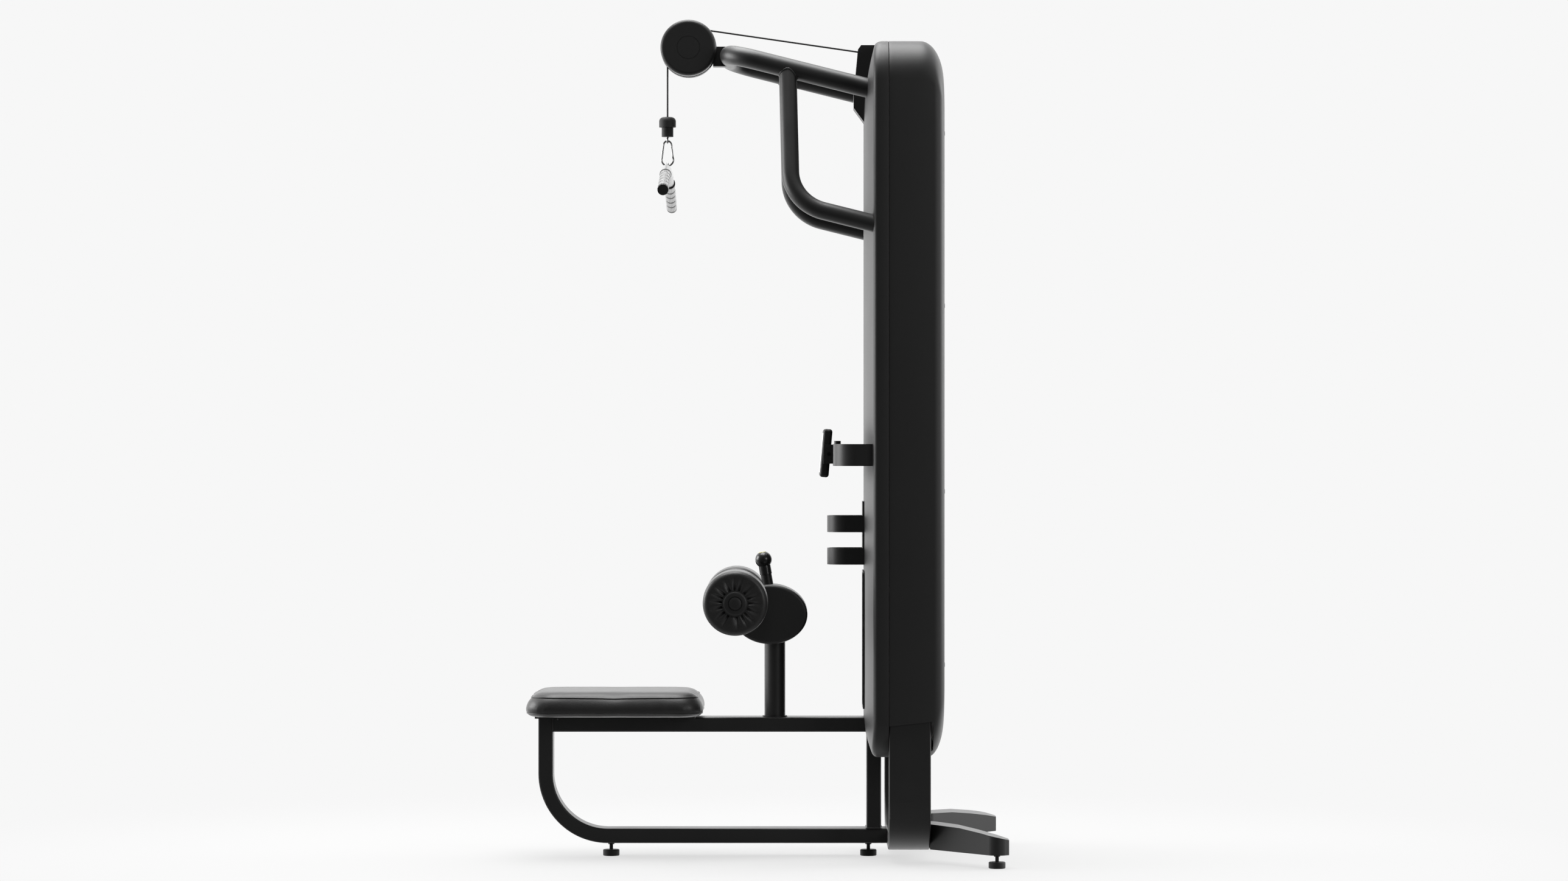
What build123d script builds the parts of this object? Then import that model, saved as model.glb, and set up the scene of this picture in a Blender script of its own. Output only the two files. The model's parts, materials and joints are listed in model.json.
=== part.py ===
from build123d import *
import math
import os

# Lat pulldown machine. Millimetres, +Z up, +X from the seat to the weight tower, Y across the machine.
# The origin lies on the floor under the middle of the machine's length.

# Clearances
slack = 0.3              # between faces of two pieces that move past each other
run_fit = 0.05           # radial, shaft in its bore
entry_gap = 1.0          # round a tube where it goes through a shell

# Beams of the base
beam_w = 80.0            # width across the machine
beam_h = 40.0            # height of the section
beam_edge = 5.0          # outer corner radius of the section
tube_wall = 3.0
beam_low = 37.0          # underside of the lower beam
beam_top = 381.0         # top of the seat beam
column_front = -619.0
column_bend = 170.0      # centreline radius of the bend at the front
post_x = 297.5           # middle of the mid post

# Tower loop
loop_front = 333.0
loop_depth = 112.0
loop_half = 286.0        # half of the outside width
loop_tube = 40.0
loop_bottom = 30.0
loop_top = 2105.0
loop_corner = 140.0
loop_split = 1200.0      # height of the weld between the two halves
loop_back = loop_front + loop_depth

# Pulleys and cable
pitch_r = 58.0           # cable centre on a pulley
cable_r = 2.5
flange_lip = 5.0         # how far a pulley's flange stands out past the cable's centre
flange_r = pitch_r + flange_lip
pulley_w = 22.0
axle_r = 8.0
bearing_r = 17.0
cheek_gap = 3.0          # between a pulley and the plate beside it
cheek_t = 5.0
head_x = -209.0
tower_pulley_x = loop_front - 3.5
tower_pulley_z = loop_top + 27.0
stack_x = tower_pulley_x + pitch_r

# Shells of the tower
shell_wall = 4.0
shell_gap = 5.0          # between the loop and the shell's inside
shell_half = loop_half + shell_gap + shell_wall
shell_front = 270.0
shell_back = 482.0
shell_bottom = 283.0
shell_top = tower_pulley_z + flange_r + 15.0 + shell_wall
shell_corner = 110.0
crown = 21.0             # how far the front's middle stands out
front_corner = 10.0
top_ease = (24.0, 190.0)     # how far the front leans back at its top, and over what height
bottom_ease = (23.0, 112.0)
top_round = 18.0         # where the leaning front turns into the top
back_side_round = (30.0, 28.0)
back_top_round = (63.0, 110.0)
back_bottom_round = (45.0, 108.0)
skirt = 378.0            # lower edge of the rear shell beside the loop's posts

# Weight stack
plate_count = 14
picked = 5               # plates that the pin lifts
plate_t = 25.0
plate_gap = 0.4
plate_pitch = plate_t + plate_gap
plate_half = 150.0
plate_depth = 85.0
stack_low = 412.0
rod_r = 10.0
rod_y_place = 105.0
rod_slack = 0.4
stem_r = 14.0
stem_slack = 1.0
selector_r = 4.75
selector_slack = 0.3
selector_past = 4.0      # how far the pin's end comes out behind the stem
header_t = 30.0
bumper_h = 20.0
crossbar_h = 20.0

# Window for the weight stack
window_half = 70.0
window_low = stack_low - 7.0
window_high = stack_low + plate_count * plate_pitch + 14.4
bezel_w = 7.0

# Upper arm and braces
arm_r = 26.5
arm_y = 140.0
arm_front_x = -96.0
arm_bend = 75.0
arm_root_z = loop_top - arm_r - 0.5
arm_slope = 0.2504
arm_front_z = arm_root_z + arm_slope * (loop_front - arm_front_x)
brace_r = 24.0
brace_x = 62.0
brace_y = loop_half - 20.0
brace_bend = 115.0
brace_drop = 372.0       # from the arm down to the brace's corner
head_z = arm_front_z + 24.6

# Head covers
cover_t = 3.0
cover_room = 10.5        # between a pulley's flange and the cover round it
cover_r = flange_r + cover_room + cover_t
cover_face = 49.0        # half of the width over both covers
cover_gap = 10.0         # half of the slot between the covers
link_half = 22.0
link_h = 2 * arm_r + 1.0

# Stop, carabiner and bar
stop_top = head_z - 187.0
dome_h = 28.0
dome_r = 23.0
stop_neck = 26.0
eye_ring_r = 7.0
eye_wire_r = 2.5
ring_gap = 0.5
swivel_r = 4.0
swivel_depth = 14.0
clip_wire_r = 2.65
clip_top_r = 10.85
clip_low_r = 15.85
clip_span = 41.0         # between the centres of the two bends
rivet_r = 0.8            # holds the carabiner's gate
bar_r = 12.5
bar_flat = 110.0
bar_half = 455.0
bar_fall = 76.0
bar_bend = 90.0
grip_r = 15.0
grip_in = 210.0
grip_out = 447.0
shackle_r = 3.5

# Seat
seat_front = -649.0
seat_back = -166.0
seat_half = 175.0
seat_plate_t = 6.0
seat_plate_in = 24.0     # plate's edge inside the pad's edge, front and back
seat_t = 67.0
seat_corner = 45.0       # seen from above
seat_round = 30.0        # round its top edge
seat_plate_half = 100.0

# Thigh pads
post_tube_x = 27.0
post_tube_r = 28.5
pod_x = 14.0
pod_z = 663.0
pod_a = 102.0
pod_b = 81.0
pod_half = 75.0
pod_wall = 4.0
pivot_x = 22.0
pivot_r = 9.0
roller_x = -79.0
roller_z = 700.0
roller_r = 88.0
roller_in = 80.0
roller_out = 270.0
roller_axle_r = 12.5
core_r = 17.0
hub_r = 35.0
hub_t = 7.0
pin_tilt = 10.0
index_r = 66.0
pin_r = 5.0

# Bottle holder
cup_low = window_high + 16.0
cup_z = (cup_low, cup_low + 88.5)    # undersides of the two bands
cup_h = 45.5
cup_r = 50.0
cup_t = 4.0
cup_top = cup_low + 173.0

# Console
console_half = 95.0
console_low = 1038.0
console_h = 132.0
console_t = 25.0
console_x = 148.0
console_tilt = 5.0
hinge_x = 174.0
hinge_z = 1100.0
jaw_gap = 2.0
arm_band_h = 59.0
arm_band_t = 6.0
arm_band_x = 191.0
arm_band_y = 16.0 - loop_half
arm_band_bend = 60.0

# Feet
pad_r = 22.5
pad_h = 17.0
stem_m = 5.0
front_pad_x = -421.0
mid_pad_x = 283.0
rear_pad = (618.0, 359.0)
rear_root_y = 165.0
rear_foot_w = 75.0
foot_tip = 649.0


def box(x0, x1, y0, y1, z0, z1):
    """Box between two corners."""
    return Pos((x0 + x1) / 2, (y0 + y1) / 2, (z0 + z1) / 2) * Box(x1 - x0, y1 - y0, z1 - z0)


def rod_x(x0, x1, y, z, r):
    return Pos((x0 + x1) / 2, y, z) * Rot(0, 90, 0) * Cylinder(r, x1 - x0)


def rod_y(x, z, r, y0, y1):
    return Pos(x, (y0 + y1) / 2, z) * Rot(90, 0, 0) * Cylinder(r, y1 - y0)


def rod_z(x, y, r, z0, z1):
    return Pos(x, y, (z0 + z1) / 2) * Cylinder(r, z1 - z0)


def other_side(shape):
    return mirror(shape, about=Plane.XZ)


def both_sides(shape):
    return shape + other_side(shape)


def sweep_along(path, section, x_dir=None):
    """A section swept along a path that starts square to it."""
    start = Plane(origin=path @ 0, x_dir=x_dir, z_dir=path % 0)
    return sweep(start * section, path=path)


def round_tube(path, r, wall):
    return sweep_along(path, Circle(r)) - sweep_along(path, Circle(r - wall))


def ahead_of_loop(shape):
    """What lies in front of the tower's loop, so that a sloping tube ends flat on it."""
    return shape & box(column_front, loop_front, -shell_half, shell_half, loop_bottom, shell_top + 200)


def rect_tube(path, width, height):
    outer = sweep_along(path, RectangleRounded(width, height, beam_edge), (0, 1, 0))
    bore = Rectangle(width - 2 * tube_wall, height - 2 * tube_wall)
    return outer - sweep_along(path, bore, (0, 1, 0))


def save(node, shape):
    export_step(shape, f"parts/{node}.step")


# ---------------------------------------------------------------- base

def loop_ring(inset):
    """Rounded ring of the tower's tube, its walls moved in by inset."""
    height = loop_top - loop_bottom
    outside = RectangleRounded(2 * (loop_half - inset), height - 2 * inset, loop_corner - inset)
    narrow = 2 * (loop_tube - inset)
    inside = RectangleRounded(2 * loop_half - narrow, height - narrow, loop_corner - narrow / 2)
    face = Plane.YZ.offset(loop_front + inset) * Pos(0, loop_bottom + height / 2) * (outside - inside)
    return extrude(face, amount=loop_depth - 2 * inset)


def pulley_notch():
    """Room for the tower pulley and its two plates in the loop's top tube."""
    side = pulley_w / 2 + cheek_gap + cheek_t
    return box(loop_front - 1, tower_pulley_x + flange_r + 9, -side, side, loop_top - 60, loop_top + 1)


def tower_loop():
    ring = loop_ring(0)
    ends = ring.edges().filter_by(GeomType.LINE).filter_by(Axis.X, reverse=True)
    ring = fillet(ends, 4) if ends else ring
    return ring - loop_ring(tube_wall)


def base_loop_halves():
    ring = tower_loop()
    low = box(loop_front - 1, loop_back + 1, -loop_half - 1, loop_half + 1, 0, loop_split)
    save("lower_loop", ring & low)
    save("upper_loop", (ring - low) - pulley_notch())


def base_beam_path():
    z_mid = beam_low + beam_h / 2
    x_mid = column_front + beam_h / 2
    points = [(x_mid, 0, beam_top), (x_mid, 0, z_mid), (loop_front, 0, z_mid)]
    return FilletPolyline(*points, radius=column_bend)


def beams():
    save("base_beam", rect_tube(base_beam_path(), beam_w, beam_h))
    z_mid = beam_top - beam_h / 2
    straight = Line((column_front + beam_h, 0, z_mid), (loop_front, 0, z_mid))
    save("seat_beam", rect_tube(straight, beam_w, beam_h))
    upright = Line((post_x, 0, beam_low + beam_h), (post_x, 0, beam_top - beam_h))
    save("mid_post", rect_tube(upright, beam_w, beam_h))


def rear_foot():
    """Splayed foot behind the tower, high at its root and low at its rounded tip."""
    root = Vector(loop_back, rear_root_y)
    tip = Vector(*rear_pad)
    run = tip - root
    turn = math.degrees(math.atan2(run.Y, run.X))
    back = 40.0
    length = run.length + back + rear_foot_w / 2
    plan = Pos(root.X, root.Y) * Rot(0, 0, turn) * Pos(length / 2 - back, 0)
    bar = extrude(plan * RectangleRounded(length, rear_foot_w, 30.0), amount=beam_low + 80)
    side = Polyline((loop_back, beam_low), (foot_tip, beam_low), (foot_tip, beam_low + 40),
                    (622, beam_low + 47), (572, beam_low + 57), (520, beam_low + 65),
                    (loop_back, beam_low + 68), close=True)
    wedge = extrude(Plane.XZ * make_face(side), amount=2 * loop_half, both=True)
    return bar & wedge


def feet():
    save("rear_feet", both_sides(rear_foot()))
    places = [(front_pad_x, 0), (mid_pad_x, 0), rear_pad, (rear_pad[0], -rear_pad[1])]
    pads = Part()
    stems = Part()
    for x, y in places:
        pad = rod_z(x, y, pad_r, 0, pad_h)
        pad = fillet(pad.edges().filter_by(GeomType.CIRCLE), 2.5)
        hole = rod_z(x, y, stem_m, pad_h * 0.55, pad_h)
        pads += pad - hole
        nut = Pos(x, y, beam_low - 6) * extrude(RegularPolygon(8.5, 6), amount=6)
        stems += rod_z(x, y, stem_m, pad_h * 0.55, beam_low) + nut
    save("foot_pads", pads)
    save("foot_stems", stems)


# ---------------------------------------------------------------- tower shells

def lean(x, z, dx, dz):
    """Arc that starts upright at (x, z) and ends at (x + dx, z + dz)."""
    radius = (dx * dx + dz * dz) / (2 * dx)
    half = math.asin(abs(dz) / radius) / 2
    middle = (x + radius * (1 - math.cos(half)), z + math.copysign(radius * math.sin(half), dz))
    return ThreePointArc((x, z), middle, (x + dx, z + dz))


def front_form(inset, end):
    """Solid form of the front shell with every wall moved in by inset."""
    half = shell_half - inset
    x_front = shell_front + inset
    low = shell_bottom + inset
    high = shell_top - inset
    outline = Plane.YZ.offset(x_front) * Pos(0, (low + high) / 2)
    prism = extrude(outline * RectangleRounded(2 * half, high - low, shell_corner - inset), amount=end - x_front)
    r = front_corner
    x_side = x_front + crown
    k = r * (1 - math.sqrt(0.5))
    plan = [
        Line((end, -half), (x_side + r, -half)),
        ThreePointArc((x_side + r, -half), (x_side + k, -half + k), (x_side, -half + r)),
        ThreePointArc((x_side, -half + r), (x_front, 0), (x_side, half - r)),
        ThreePointArc((x_side, half - r), (x_side + k, half - k), (x_side + r, half)),
        Line((x_side + r, half), (end, half)),
        Line((end, half), (end, -half)),
    ]
    crowned = extrude(Pos(0, 0, low - 1) * make_face(plan), amount=high - low + 2)
    z_low = shell_bottom + bottom_ease[1]
    z_high = shell_top - top_round - top_ease[1]
    x_turn = x_front + top_ease[0]
    turn = top_round - inset
    k_turn = turn * (1 - math.sqrt(0.5))
    upper = lean(x_front, z_high, top_ease[0], top_ease[1])
    lower = lean(x_front, z_low, bottom_ease[0], low - z_low)
    side = [
        upper,
        ThreePointArc((x_turn, high - turn), (x_turn + k_turn, high - k_turn), (x_turn + turn, high)),
        Line((x_turn + turn, high), (end, high)),
        Line((end, high), (end, low)),
        Line((end, low), (x_front + bottom_ease[0], low)),
        lower,
        Line((x_front, z_low), (x_front, z_high)),
    ]
    profile = extrude(Plane.XZ * make_face(side), amount=half + 1, both=True)
    return prism & crowned & profile


def window_cut(margin):
    z_mid = (window_low + window_high) / 2
    height = window_high - window_low
    hole = RectangleRounded(2 * (window_half + margin), height + 2 * margin, 12 + margin)
    return extrude(Plane.YZ.offset(shell_front - 20) * Pos(0, z_mid) * hole, amount=60)


def front_shell():
    shell = front_form(0, loop_front) - front_form(shell_wall, loop_front + 1)
    holes = sweep_along(arm_path(), Circle(arm_r + entry_gap))
    holes += both_sides(sweep_along(brace_path(), Circle(brace_r + entry_gap)))
    slot = box(shell_front - 5, loop_front, -26, 26, tower_pulley_z - flange_r - 19, tower_pulley_z + flange_r + 11)
    beam = box(shell_front - 5, loop_front + 1, -beam_w / 2 - 1, beam_w / 2 + 1, shell_bottom - 5, beam_top + 1)
    return shell - holes - slot - beam - window_cut(0)


def rounding(x, back, size):
    """How far an edge has come in at x, on its way round to the back."""
    depth, amount = size
    t = max(0.0, (x - back + depth) / depth)
    return amount * (1 - math.sqrt(max(0.0, 1 - t * t)))


def rear_form(inset, start):
    back = shell_back - inset
    depth = back_top_round[0]
    places = [start] + [back - depth + depth * math.sin(math.radians(a)) for a in (0, 25, 45, 60, 72, 82, 90)]
    faces = []
    for x in places:
        half = shell_half - inset - rounding(x, back, back_side_round)
        high = shell_top - inset - rounding(x, back, back_top_round)
        low = shell_bottom + inset + rounding(x, back, back_bottom_round)
        outline = RectangleRounded(2 * half, high - low, shell_corner - inset - 20)
        faces.append(Plane.YZ.offset(x) * Pos(0, (low + high) / 2) * outline)
    return loft(faces, ruled=True)


def rear_shell():
    shell = rear_form(0, loop_front) - rear_form(shell_wall, loop_front - 1)
    inner = loop_half - loop_tube - shell_gap
    notch = box(loop_front - 1, loop_back + 7, inner, shell_half + 1, shell_bottom - 1, skirt)
    return shell - both_sides(notch)


def cable_housing():
    """Cover over the tower pulley's front, with a slot where the cable comes in."""
    top = shell_top + 3
    x0 = shell_front - 27.5
    edge = [(x0, top - 172), (x0, top - 133), (x0 + 5.5, top - 77), (x0 + 11.5, top - 12),
            (x0 + 20, top), (loop_front - 6, top), (loop_front - 6, top - 215), (shell_front + 4, top - 215)]
    body = extrude(Plane.XZ * make_face(Polyline(*edge, close=True)), amount=40, both=True)
    body -= front_form(0, loop_front)
    core = [(x0 + 3, top - 170), (x0 + 3, top - 133), (x0 + 8.5, top - 77), (x0 + 14.5, top - 14),
            (x0 + 22, top - 3), (loop_front, top - 3), (loop_front, top - 205), (shell_front + 2, top - 205)]
    body -= extrude(Plane.XZ * make_face(Polyline(*core, close=True)), amount=37, both=True)
    z = cable_height(x0 + 12)
    return body - box(x0 - 5, x0 + 25, -6, 6, z - 9, z + 9)


def window_bezel():
    ring = window_cut(0) - window_cut(-bezel_w)
    return ring & box(shell_front - 3, shell_front + 14, -200, 200, 0, 1000)


def bolts():
    """Button screws in the rear shell and the four bolts under the seat."""
    heads = Part()
    for z in (shell_bottom + 250, 1000, 1500, shell_top - 250):
        for y in (-200, 200):
            heads += rod_x(shell_back, shell_back + 3, y, z, 6)
    for x in (seat_front + 90, seat_back - 90):
        for y in (-70, 70):
            heads += rod_z(x, y, 7, beam_top - 5, beam_top)
    return heads


def shells():
    save("front_shell", front_shell())
    save("rear_shell", rear_shell())
    save("cable_housing", cable_housing())
    save("window_bezel", window_bezel())
    save("bolts", bolts())


# ---------------------------------------------------------------- upper arm and head

def arm_path():
    points = [(loop_front, arm_y, arm_root_z), (arm_front_x, arm_y, arm_front_z),
              (arm_front_x, -arm_y, arm_front_z), (loop_front, -arm_y, arm_root_z)]
    return FilletPolyline(*points, radius=arm_bend)


def brace_path():
    top_z = arm_root_z + arm_slope * (loop_front - brace_x)
    low_z = top_z - brace_drop
    foot_z = low_z - 0.25 * (loop_front - brace_x - 9)
    points = [(brace_x, arm_y, top_z), (brace_x + 9, brace_y, low_z), (loop_front, brace_y, foot_z)]
    return FilletPolyline(*points, radius=brace_bend)


def cable_height(x):
    """Height of the straight run of the cable between the two pulleys."""
    slope = (tower_pulley_z - head_z) / (tower_pulley_x - head_x)
    lift = pitch_r * math.sqrt(1 + slope * slope)
    return head_z + lift + slope * (x - head_x)


def link_block():
    """Block welded to the arm's cross tube, with two plates that hold the head pulley."""
    side = pulley_w / 2 + cheek_gap
    block = box(head_x + flange_r + 4, arm_front_x, -link_half, link_half, -link_h / 2, link_h / 2)
    block = Pos(0, 0, arm_front_z + 2) * block
    plates = Part()
    for y0, y1 in ((-side - cheek_t, -side), (side, side + cheek_t)):
        disc = rod_y(head_x, head_z, 26, y0, y1)
        arm = box(head_x, head_x + flange_r + 6, y0, y1, arm_front_z - 12, head_z + 14)
        plates += (disc + arm)
    bore = rod_y(head_x, head_z, axle_r, -60, 60)
    return block + plates - bore - sweep_along(arm_path(), Circle(arm_r))


def pulley_covers():
    cup = rod_y(head_x, head_z, cover_r, cover_gap, cover_face)
    rim = cup.edges().filter_by(GeomType.CIRCLE).group_by(Axis.Y)[-1]
    cup = fillet(rim, 10)
    cup -= rod_y(head_x, head_z, cover_r - cover_t, cover_gap - 1, cover_face - cover_t)
    groove = rod_y(head_x, head_z, 31.6, cover_face - 1, cover_face + 1)
    groove -= rod_y(head_x, head_z, 30.4, cover_face - 2, cover_face + 2)
    room = box(head_x + 20, head_x + cover_r + 13.5, -link_half - 1, link_half + 1,
               arm_front_z - link_h / 2 + 1, arm_front_z + link_h / 2 + 3)
    return both_sides(cup - groove - room)


def pulley(x, z):
    """Grooved wheel with a ball bearing pressed into its middle."""
    wheel = rod_y(x, z, flange_r, -pulley_w / 2, pulley_w / 2)
    edge = cable_r + slack
    ring = Pos(x, 0, z) * Rot(90, 0, 0) * Torus(pitch_r, edge)
    mouth = rod_y(x, z, flange_r + 1, -edge, edge) - rod_y(x, z, pitch_r, -edge, edge)
    wheel -= ring + mouth
    dish = rod_y(x, z, 46, 6, pulley_w) - rod_y(x, z, 24, 5, pulley_w + 1)
    wheel -= both_sides(dish)
    wheel -= rod_y(x, z, bearing_r, -pulley_w, pulley_w)
    race = rod_y(x, z, bearing_r, -7, 7) - rod_y(x, z, axle_r + run_fit, -8, 8)
    return wheel, race


def tower_bracket():
    side = pulley_w / 2 + cheek_gap
    plates = Part()
    for y0, y1 in ((-side - cheek_t, -side), (side, side + cheek_t)):
        plates += box(tower_pulley_x - 30, tower_pulley_x + flange_r + 9, y0, y1, loop_top - 45, tower_pulley_z + 22)
    return plates - rod_y(tower_pulley_x, tower_pulley_z, axle_r, -60, 60)


def cable_nodes():
    slope = math.atan2(head_z - tower_pulley_z, tower_pulley_x - head_x)
    nx = pitch_r * math.sin(slope)
    nz = pitch_r * math.cos(slope)
    mid_head = math.radians(180 - (90 + math.degrees(slope)) / 2)
    mid_tower = (math.pi / 2 - slope) / 2
    left = head_x - pitch_r
    right = tower_pulley_x + pitch_r
    over_head = ThreePointArc((left, 0, head_z),
                              (head_x + pitch_r * math.cos(mid_head), 0, head_z + pitch_r * math.sin(mid_head)),
                              (head_x + nx, 0, head_z + nz))
    across = Line(over_head @ 1, (tower_pulley_x + nx, 0, tower_pulley_z + nz))
    over_tower = ThreePointArc(across @ 1,
                               (tower_pulley_x + pitch_r * math.cos(mid_tower), 0,
                                tower_pulley_z + pitch_r * math.sin(mid_tower)),
                               (right, 0, tower_pulley_z))
    runs = Part()
    for run in (over_head, across, over_tower):
        runs += sweep_along(run, Circle(cable_r))
    save("cable_top", runs)
    save("cable_drop", rod_z(left, 0, cable_r, stop_top, head_z))
    save("cable_rise", rod_z(right, 0, cable_r, stem_top(), tower_pulley_z))


def head():
    save("upper_arm", ahead_of_loop(round_tube(arm_path(), arm_r, tube_wall)))
    arm = sweep_along(arm_path(), Circle(arm_r))
    save("braces", ahead_of_loop(both_sides(round_tube(brace_path(), brace_r, tube_wall) - arm)))
    save("link_block", link_block())
    save("pulley_covers", pulley_covers())
    reach = cover_face - cover_t
    axles = rod_y(head_x, head_z, axle_r, -reach, reach)
    side = pulley_w / 2 + cheek_gap + cheek_t + 4
    axles += rod_y(tower_pulley_x, tower_pulley_z, axle_r, -side, side)
    save("pulley_axles", axles)
    for name, x, z in (("head", head_x, head_z), ("tower", tower_pulley_x, tower_pulley_z)):
        wheel, race = pulley(x, z)
        save(name + "_pulley", Compound(children=[wheel, race]))
    save("tower_bracket", tower_bracket())
    cable_nodes()


# ---------------------------------------------------------------- stop, carabiner and bar

def ring_centre_z():
    return stop_top - dome_h - stop_neck - eye_ring_r - eye_wire_r - ring_gap


def clip_centres():
    """Heights of the carabiner's two bends: it hangs in the swivel's ring."""
    wire_z = ring_centre_z() - eye_ring_r + eye_wire_r + 0.2 + clip_wire_r
    high = wire_z - clip_top_r
    return high, high - clip_span


def stop_pieces():
    x = head_x - pitch_r
    neck_top = stop_top - dome_h
    dome = rod_z(x, 0, dome_r, neck_top, stop_top)
    top_edge = dome.edges().filter_by(GeomType.CIRCLE).sort_by(Axis.Z)[-1]
    dome = fillet(top_edge, 12)
    low = neck_top - stop_neck
    rubber = dome + rod_z(x, 0, 16, low, neck_top)
    save("cable_stop", rubber - rod_z(x, 0, swivel_r + run_fit, low - 1, low + swivel_depth + 1))
    z = ring_centre_z()
    ring = Pos(x, 0, z) * Rot(0, 90, 0) * Torus(eye_ring_r, eye_wire_r)
    save("swivel_eye", ring + rod_z(x, 0, swivel_r, z + eye_ring_r, low + swivel_depth))


def carabiner():
    x = head_x - pitch_r
    high, low = clip_centres()
    lean_angle = math.asin((clip_low_r - clip_top_r) / clip_span)
    c, s = math.cos(lean_angle), math.sin(lean_angle)

    def at(side, z, r):
        return Vector(x + side * r * c, 0, z + r * s)

    gate_low = at(1, low, clip_low_r)
    gate_high = at(1, high, clip_top_r)
    gate_start = gate_low + (gate_high - gate_low) * 0.1
    gate_end = gate_low + (gate_high - gate_low) * 0.9
    path = [
        Line(gate_start, gate_low),
        ThreePointArc(gate_low, (x, 0, low - clip_low_r), at(-1, low, clip_low_r)),
        Line(at(-1, low, clip_low_r), at(-1, high, clip_top_r)),
        ThreePointArc(at(-1, high, clip_top_r), (x, 0, high + clip_top_r), gate_high),
        Line(gate_high, gate_end),
    ]
    run = (gate_end - gate_start).normalized()
    gate_r = clip_wire_r - 0.5
    pivot = gate_start + run * (gate_r + slack)
    ear_in = gate_r + 0.15
    ear_out = ear_in + 1.0
    ear = Plane(origin=pivot - run * 2.5, x_dir=run, z_dir=(0, -1, 0)) * SlotOverall(9.0, 4.0)
    ears = both_sides(Pos(0, -ear_in, 0) * extrude(ear, amount=ear_out - ear_in))
    rivet = rod_y(pivot.X, pivot.Z, rivet_r, -ear_out, ear_out)
    save("carabiner", sweep_along(Wire(path), Circle(clip_wire_r)) + ears + rivet)
    gate = sweep_along(Line(pivot, gate_end - run * slack), Circle(gate_r)) + Pos(*pivot) * Sphere(gate_r)
    save("carabiner_gate", gate - rod_y(pivot.X, pivot.Z, rivet_r + run_fit, -ear_out, ear_out))


def bar_path():
    _, low = clip_centres()
    z = low - clip_low_r - clip_wire_r - 0.6 - bar_r
    x = head_x - pitch_r
    points = [(x, -bar_half, z - bar_fall), (x, -bar_flat, z), (x, bar_flat, z), (x, bar_half, z - bar_fall)]
    return FilletPolyline(*points, radius=bar_bend), z


def on_slope(y, z):
    """Frame on the bar's sloping half at a distance y from its middle, Z along the bar."""
    x = head_x - pitch_r
    run = Vector(0, bar_half - bar_flat, -bar_fall).normalized()
    start = Vector(x, bar_flat, z) + run * ((y - bar_flat) / run.Y)
    return Plane(origin=start, z_dir=run, x_dir=(1, 0, 0))


def bar_pieces():
    path, z = bar_path()
    bar = sweep_along(path, Circle(bar_r))
    save("lat_bar", bar)
    run_y = (bar_half - bar_flat) / math.hypot(bar_half - bar_flat, bar_fall)
    length = (grip_out - grip_in) / run_y
    sleeve = extrude(on_slope(grip_in, z) * (Circle(grip_r) - Circle(bar_r)), amount=length)
    save("bar_grips", both_sides(sleeve))
    collar = extrude(on_slope(grip_in - 7, z) * (Circle(grip_r + 1) - Circle(bar_r)), amount=6)
    cap = extrude(on_slope(grip_out + 1, z) * Circle(grip_r - 0.5), amount=9)
    save("bar_caps", both_sides(collar + (cap - bar)))
    x = head_x - pitch_r
    _, low = clip_centres()
    wire_top = low - clip_low_r + clip_wire_r + slack
    mid = wire_top - 6
    reach = 6 + shackle_r
    shackle = Wire([
        Line((x, -reach, z), (x, -reach, mid)),
        ThreePointArc((x, -reach, mid), (x, 0, mid + reach), (x, reach, mid)),
        Line((x, reach, mid), (x, reach, z)),
    ])
    save("bar_eye", sweep_along(shackle, Circle(shackle_r)) - bar)


# ---------------------------------------------------------------- seat and thigh pads

def seat():
    x0 = seat_front + seat_plate_in
    x1 = seat_back - seat_plate_in
    save("seat_plate", box(x0, x1, -seat_plate_half, seat_plate_half, beam_top, beam_top + seat_plate_t))
    low = beam_top + seat_plate_t
    pad = box(seat_front, seat_back, -seat_half, seat_half, low, low + seat_t)
    upright = pad.edges().filter_by(Axis.Z)
    pad = fillet(upright, seat_corner)
    pad = fillet(pad.faces().sort_by(Axis.Z)[-1].edges(), seat_round)
    save("seat_pad", pad)


def from_pivot(r):
    """Point on the pull pin's axis at a distance r from the pod's pivot."""
    a = math.radians(pin_tilt)
    return Vector(pivot_x - r * math.sin(a), 0, pod_z + r * math.cos(a))


def pin_rod(r0, r1, radius, hole=0.0):
    axis = from_pivot(1) - from_pivot(0)
    plane = Plane(origin=from_pivot(r0), z_dir=axis, x_dir=(0, 1, 0))
    section = Circle(radius) - Circle(hole) if hole else Circle(radius)
    return extrude(plane * section, amount=r1 - r0)


def pod_form(inset):
    drum = extrude(Plane.XZ * Pos(pod_x, pod_z) * Ellipse(pod_a - inset, pod_b - inset),
                   amount=pod_half - inset, both=True)
    boss = rod_y(roller_x, roller_z, 30 - inset, -pod_half + inset, pod_half - inset)
    return drum + boss


def pod_shell():
    shell = pod_form(0) - pod_form(pod_wall)
    reach = post_tube_r + 2
    slot = box(pod_x - 84, pod_x + 92, -reach, reach, pod_z - pod_b - 5, pod_z - 25)
    shell -= slot - box(pod_x - 200, roller_x + 32, -reach, reach, pod_z - 30, pod_z + 50)
    shell -= pin_rod(60, 95, pin_r + 1)
    walls = rod_y(pivot_x, pod_z, 20, pod_half - 14, pod_half - pod_wall)
    shell += both_sides(walls)
    shell -= rod_y(pivot_x, pod_z, pivot_r, -pod_half + 2, pod_half - 2)
    return shell - rod_y(roller_x, roller_z, roller_axle_r, -100, 100)


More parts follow.
